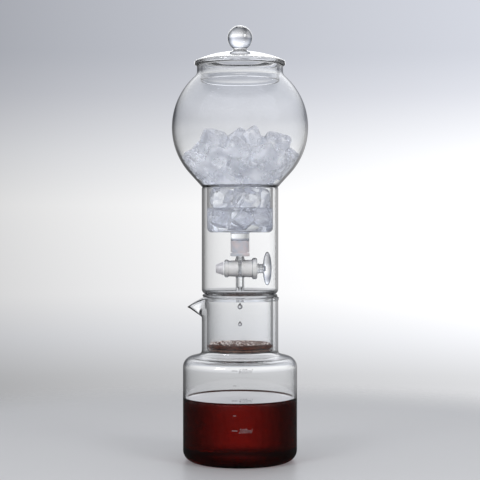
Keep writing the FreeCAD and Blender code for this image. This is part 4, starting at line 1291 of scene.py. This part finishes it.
wet_inside(carafe, coffee_level)
wet_inside(ice_globe, water_level)
print("wet faces in the carafe:", sum(face.material_index for face in carafe.data.polygons))

# %% [markdown]
# ## Floor, room and lamps
# Glass has no colour of its own: it shows the room. The floor is a plain pale disc that fades out at its
# edge, and it is nearly black for a ray that was mirrored on its way. The room is a gradient, white at
# eye level and greyer above and below. A plain even light does the lighting, so the gradient is only what
# the eye, mirrors and glass see.

# %% Floor
floor_reach = 0.62
bpy.ops.object.select_all(action="DESELECT")
bpy.ops.mesh.primitive_circle_add(vertices=128, radius=floor_reach, fill_type="NGON",
                                  location=(0, 0, -0.02 * MM))
floor_disc = bpy.context.active_object
floor_disc.name = "floor"
apply_place(floor_disc)
pale, tree, output = new_material("pale_floor")
top = add_node(tree, "BsdfPrincipled", {"Base Color": (0.5, 0.503, 0.512, 1), "Roughness": 0.28})
mirrored = add_node(tree, "BsdfDiffuse", {"Color": (0.04, 0.04, 0.04, 1)})
path = add_node(tree, "LightPath")
once = maths(tree, "MINIMUM", path.outputs["Glossy Depth"], 1.0)
by_ray = add_node(tree, "MixShader", {0: once, 1: top, 2: mirrored})
place = add_node(tree, "TexCoord")
reach = add_node(tree, "VectorMath", {0: place.outputs["Object"]}, operation="LENGTH")
fade = add_node(tree, "MapRange", {
    "Value": reach.outputs["Value"], "From Min": floor_reach * 0.6, "From Max": floor_reach * 0.98,
}, interpolation_type="SMOOTHSTEP")
clear = add_node(tree, "BsdfTransparent")
mix = add_node(tree, "MixShader", {0: fade.outputs["Result"], 1: by_ray, 2: clear})
tree.links.new(mix.outputs["Shader"], output.inputs["Surface"])
wear(floor_disc, pale)

# %% [markdown]
# The room's colour comes from the direction of a ray. Its elevation picks a colour from a ramp, and its
# azimuth makes one side a little brighter, four times round, so that every side view has the same light.
# Glass turns some rays up to a bright ceiling, which lights the lid and the ice. What glass mirrors is
# dim, as in a studio whose only bright wall is behind the object, or a grey veil would lie on the coffee.
# Light Path tells these rays apart; a ray bent by glass counts as glossy too, so reflection has its own.

# %% Room
world = bpy.data.worlds.new("studio")
bpy.context.scene.world = world
world.use_nodes = True
tree = world.node_tree
tree.nodes.clear()
direction = add_node(tree, "TexCoord")
parts = add_node(tree, "SeparateXYZ", {"Vector": direction.outputs["Generated"]})
elevation = maths(tree, "DEGREES", maths(tree, "ARCSINE", parts.outputs["Z"]))
azimuth = maths(tree, "ARCTAN2", parts.outputs["X"], parts.outputs["Y"])
LOW, HIGH = -30.0, 60.0
ROOM = [(-30, (0.5, 0.5, 0.51)), (-7.5, (0.62, 0.625, 0.64)), (-6.6, (0.63, 0.635, 0.65)),
        (-4.8, (0.82, 0.83, 0.86)), (-3.0, (1.0, 1.0, 1.01)), (1.0, (1.06, 1.06, 1.065)),
        (3.2, (0.9, 0.91, 0.94)), (5.8, (0.67, 0.685, 0.74)), (7.5, (0.58, 0.6, 0.66)),
        (60, (0.54, 0.56, 0.63))]
OVERHEAD = [(-30, (0, 0, 0)), (10, (0, 0, 0)), (26, (0.75, 0.76, 0.78)), (44, (0.75, 0.76, 0.78)),
            (52, (0, 0, 0)), (60, (0, 0, 0))]
PLAIN = [(-30, (0.7, 0.7, 0.71)), (0, (0.98, 0.99, 1.0)), (20, (0.86, 0.87, 0.89)), (60, (0.6, 0.61, 0.64))]


def by_elevation(stops):
    """A colour that changes with a ray's elevation, through stops of (degrees, colour)."""
    share = maths(tree, "DIVIDE", maths(tree, "SUBTRACT", elevation, LOW), HIGH - LOW)
    return ramp(tree, share, [((degrees - LOW) / (HIGH - LOW), colour) for degrees, colour in stops])


swing = maths(tree, "SINE", maths(tree, "MULTIPLY_ADD", azimuth, 4.0, -0.2))
steep = maths(tree, "MULTIPLY", swing, maths(tree, "POWER", maths(tree, "ABSOLUTE", swing), 4.0))
side = maths(tree, "MULTIPLY_ADD", swing, 0.3, maths(tree, "MULTIPLY_ADD", steep, 0.2, 0.99))
path = add_node(tree, "LightPath")
mirrored_once = maths(tree, "MINIMUM", path.outputs["Glossy Depth"], 1.0)
mirror = maths(tree, "MULTIPLY_ADD", mirrored_once, -0.72, 1.0)
through = path.outputs["Is Transmission Ray"]
over = maths(tree, "MULTIPLY_ADD", path.outputs["Is Reflection Ray"], 1.5, through)
wall = add_node(tree, "Background", {
    "Color": by_elevation(ROOM), "Strength": maths(tree, "MULTIPLY", side, mirror)})
ceiling = add_node(tree, "Background", {"Color": by_elevation(OVERHEAD), "Strength": over})
seen = add_node(tree, "AddShader", {0: wall, 1: ceiling})
plain = add_node(tree, "Background", {"Color": by_elevation(PLAIN)})
bent = maths(tree, "MAXIMUM", path.outputs["Is Glossy Ray"], through)
looks = maths(tree, "MAXIMUM", path.outputs["Is Camera Ray"], bent)
mix = add_node(tree, "MixShader", {0: looks, 1: plain, 2: seen})
add_node(tree, "OutputWorld", {"Surface": mix})
print("room nodes:", len(tree.nodes))

# %% [markdown]
# Two square soft lamps stand in front, left and right, where they leave small bright panes on the glass.
# A third one hangs above and behind for the top edges. Four wide, faint panels stand round the tower for
# the lid alone: its flat dome mirrors them, so it turns white from every side. Light linking says which
# pieces a lamp reaches. Lamps show in reflections only.

# %% Lamps
def soft_lamp(name, azimuth, elevation, distance, size, watts):
    """A square lamp that looks at the tower's middle. Its azimuth counts from the front to the right."""
    middle = Vector((0, 0, 0.2))
    turn, up = math.radians(azimuth), math.radians(elevation)
    away = Vector((math.sin(turn) * math.cos(up), -math.cos(turn) * math.cos(up), math.sin(up)))
    data = bpy.data.lights.new(name, "AREA")
    data.shape = "SQUARE"
    data.size = size
    data.energy = watts
    lamp = bpy.data.objects.new(name, data)
    bpy.context.scene.collection.objects.link(lamp)
    lamp.location = middle + away * distance
    lamp.rotation_euler = away.to_track_quat("Z", "Y").to_euler()
    lamp.visible_camera = False
    lamp.visible_transmission = False
    return lamp


def link_light(lamp, state, *pieces):
    """Keep a lamp's light and its pane off these pieces (EXCLUDE), or give it to them alone (INCLUDE)."""
    receivers = bpy.data.collections.new(f"{lamp.name}_receivers")
    for piece in pieces:
        receivers.objects.link(piece)
    for link in receivers.collection_objects:
        link.light_linking.link_state = state
    lamp.light_linking.receiver_collection = receivers


link_light(soft_lamp("front_left", -43, 25, 1.25, 0.42, 5.8), "EXCLUDE", ice_globe)
link_light(soft_lamp("front_right", 46, 25, 1.25, 0.42, 5.8), "EXCLUDE", ice_globe, carafe)
link_light(soft_lamp("above", 170, 62, 1.3, 0.6, 4.0), "EXCLUDE", ice_globe)
for side_azimuth in (0, 90, 180, 270):
    link_light(soft_lamp(f"lid_panel_{side_azimuth}", side_azimuth, 30, 1.2, 0.9, 5.0), "INCLUDE", lid)
print("lamps:", len(bpy.data.lights))

# %% [markdown]
# Clear pieces stand inside each other, so a ray crosses many skins before it leaves. It must be allowed
# enough steps, or the deepest places turn black. Caustics are off: the lamps reach through the glass as
# plain shadows instead.

# %% Ray limits and camera
cycles = bpy.context.scene.cycles
cycles.max_bounces = 40
cycles.transmission_bounces = 40
cycles.transparent_max_bounces = 32
cycles.glossy_bounces = 10
cycles.diffuse_bounces = 4
cycles.caustics_reflective = False
cycles.caustics_refractive = False
bpy.context.scene.view_settings.view_transform = "Standard"

camera_data = bpy.data.cameras.new("camera")
camera_data.lens = 97.35
camera_data.sensor_width = 36
camera = bpy.data.objects.new("camera", camera_data)
bpy.context.scene.collection.objects.link(camera)
camera_distance = 1.188
camera_height = 0.2135
look_down = 0.57
camera.location = (0, -camera_distance, camera_height)
camera.rotation_euler = (math.radians(90 - look_down), 0, 0)
bpy.context.scene.camera = camera
print("camera at", round(camera_distance, 2), "m")
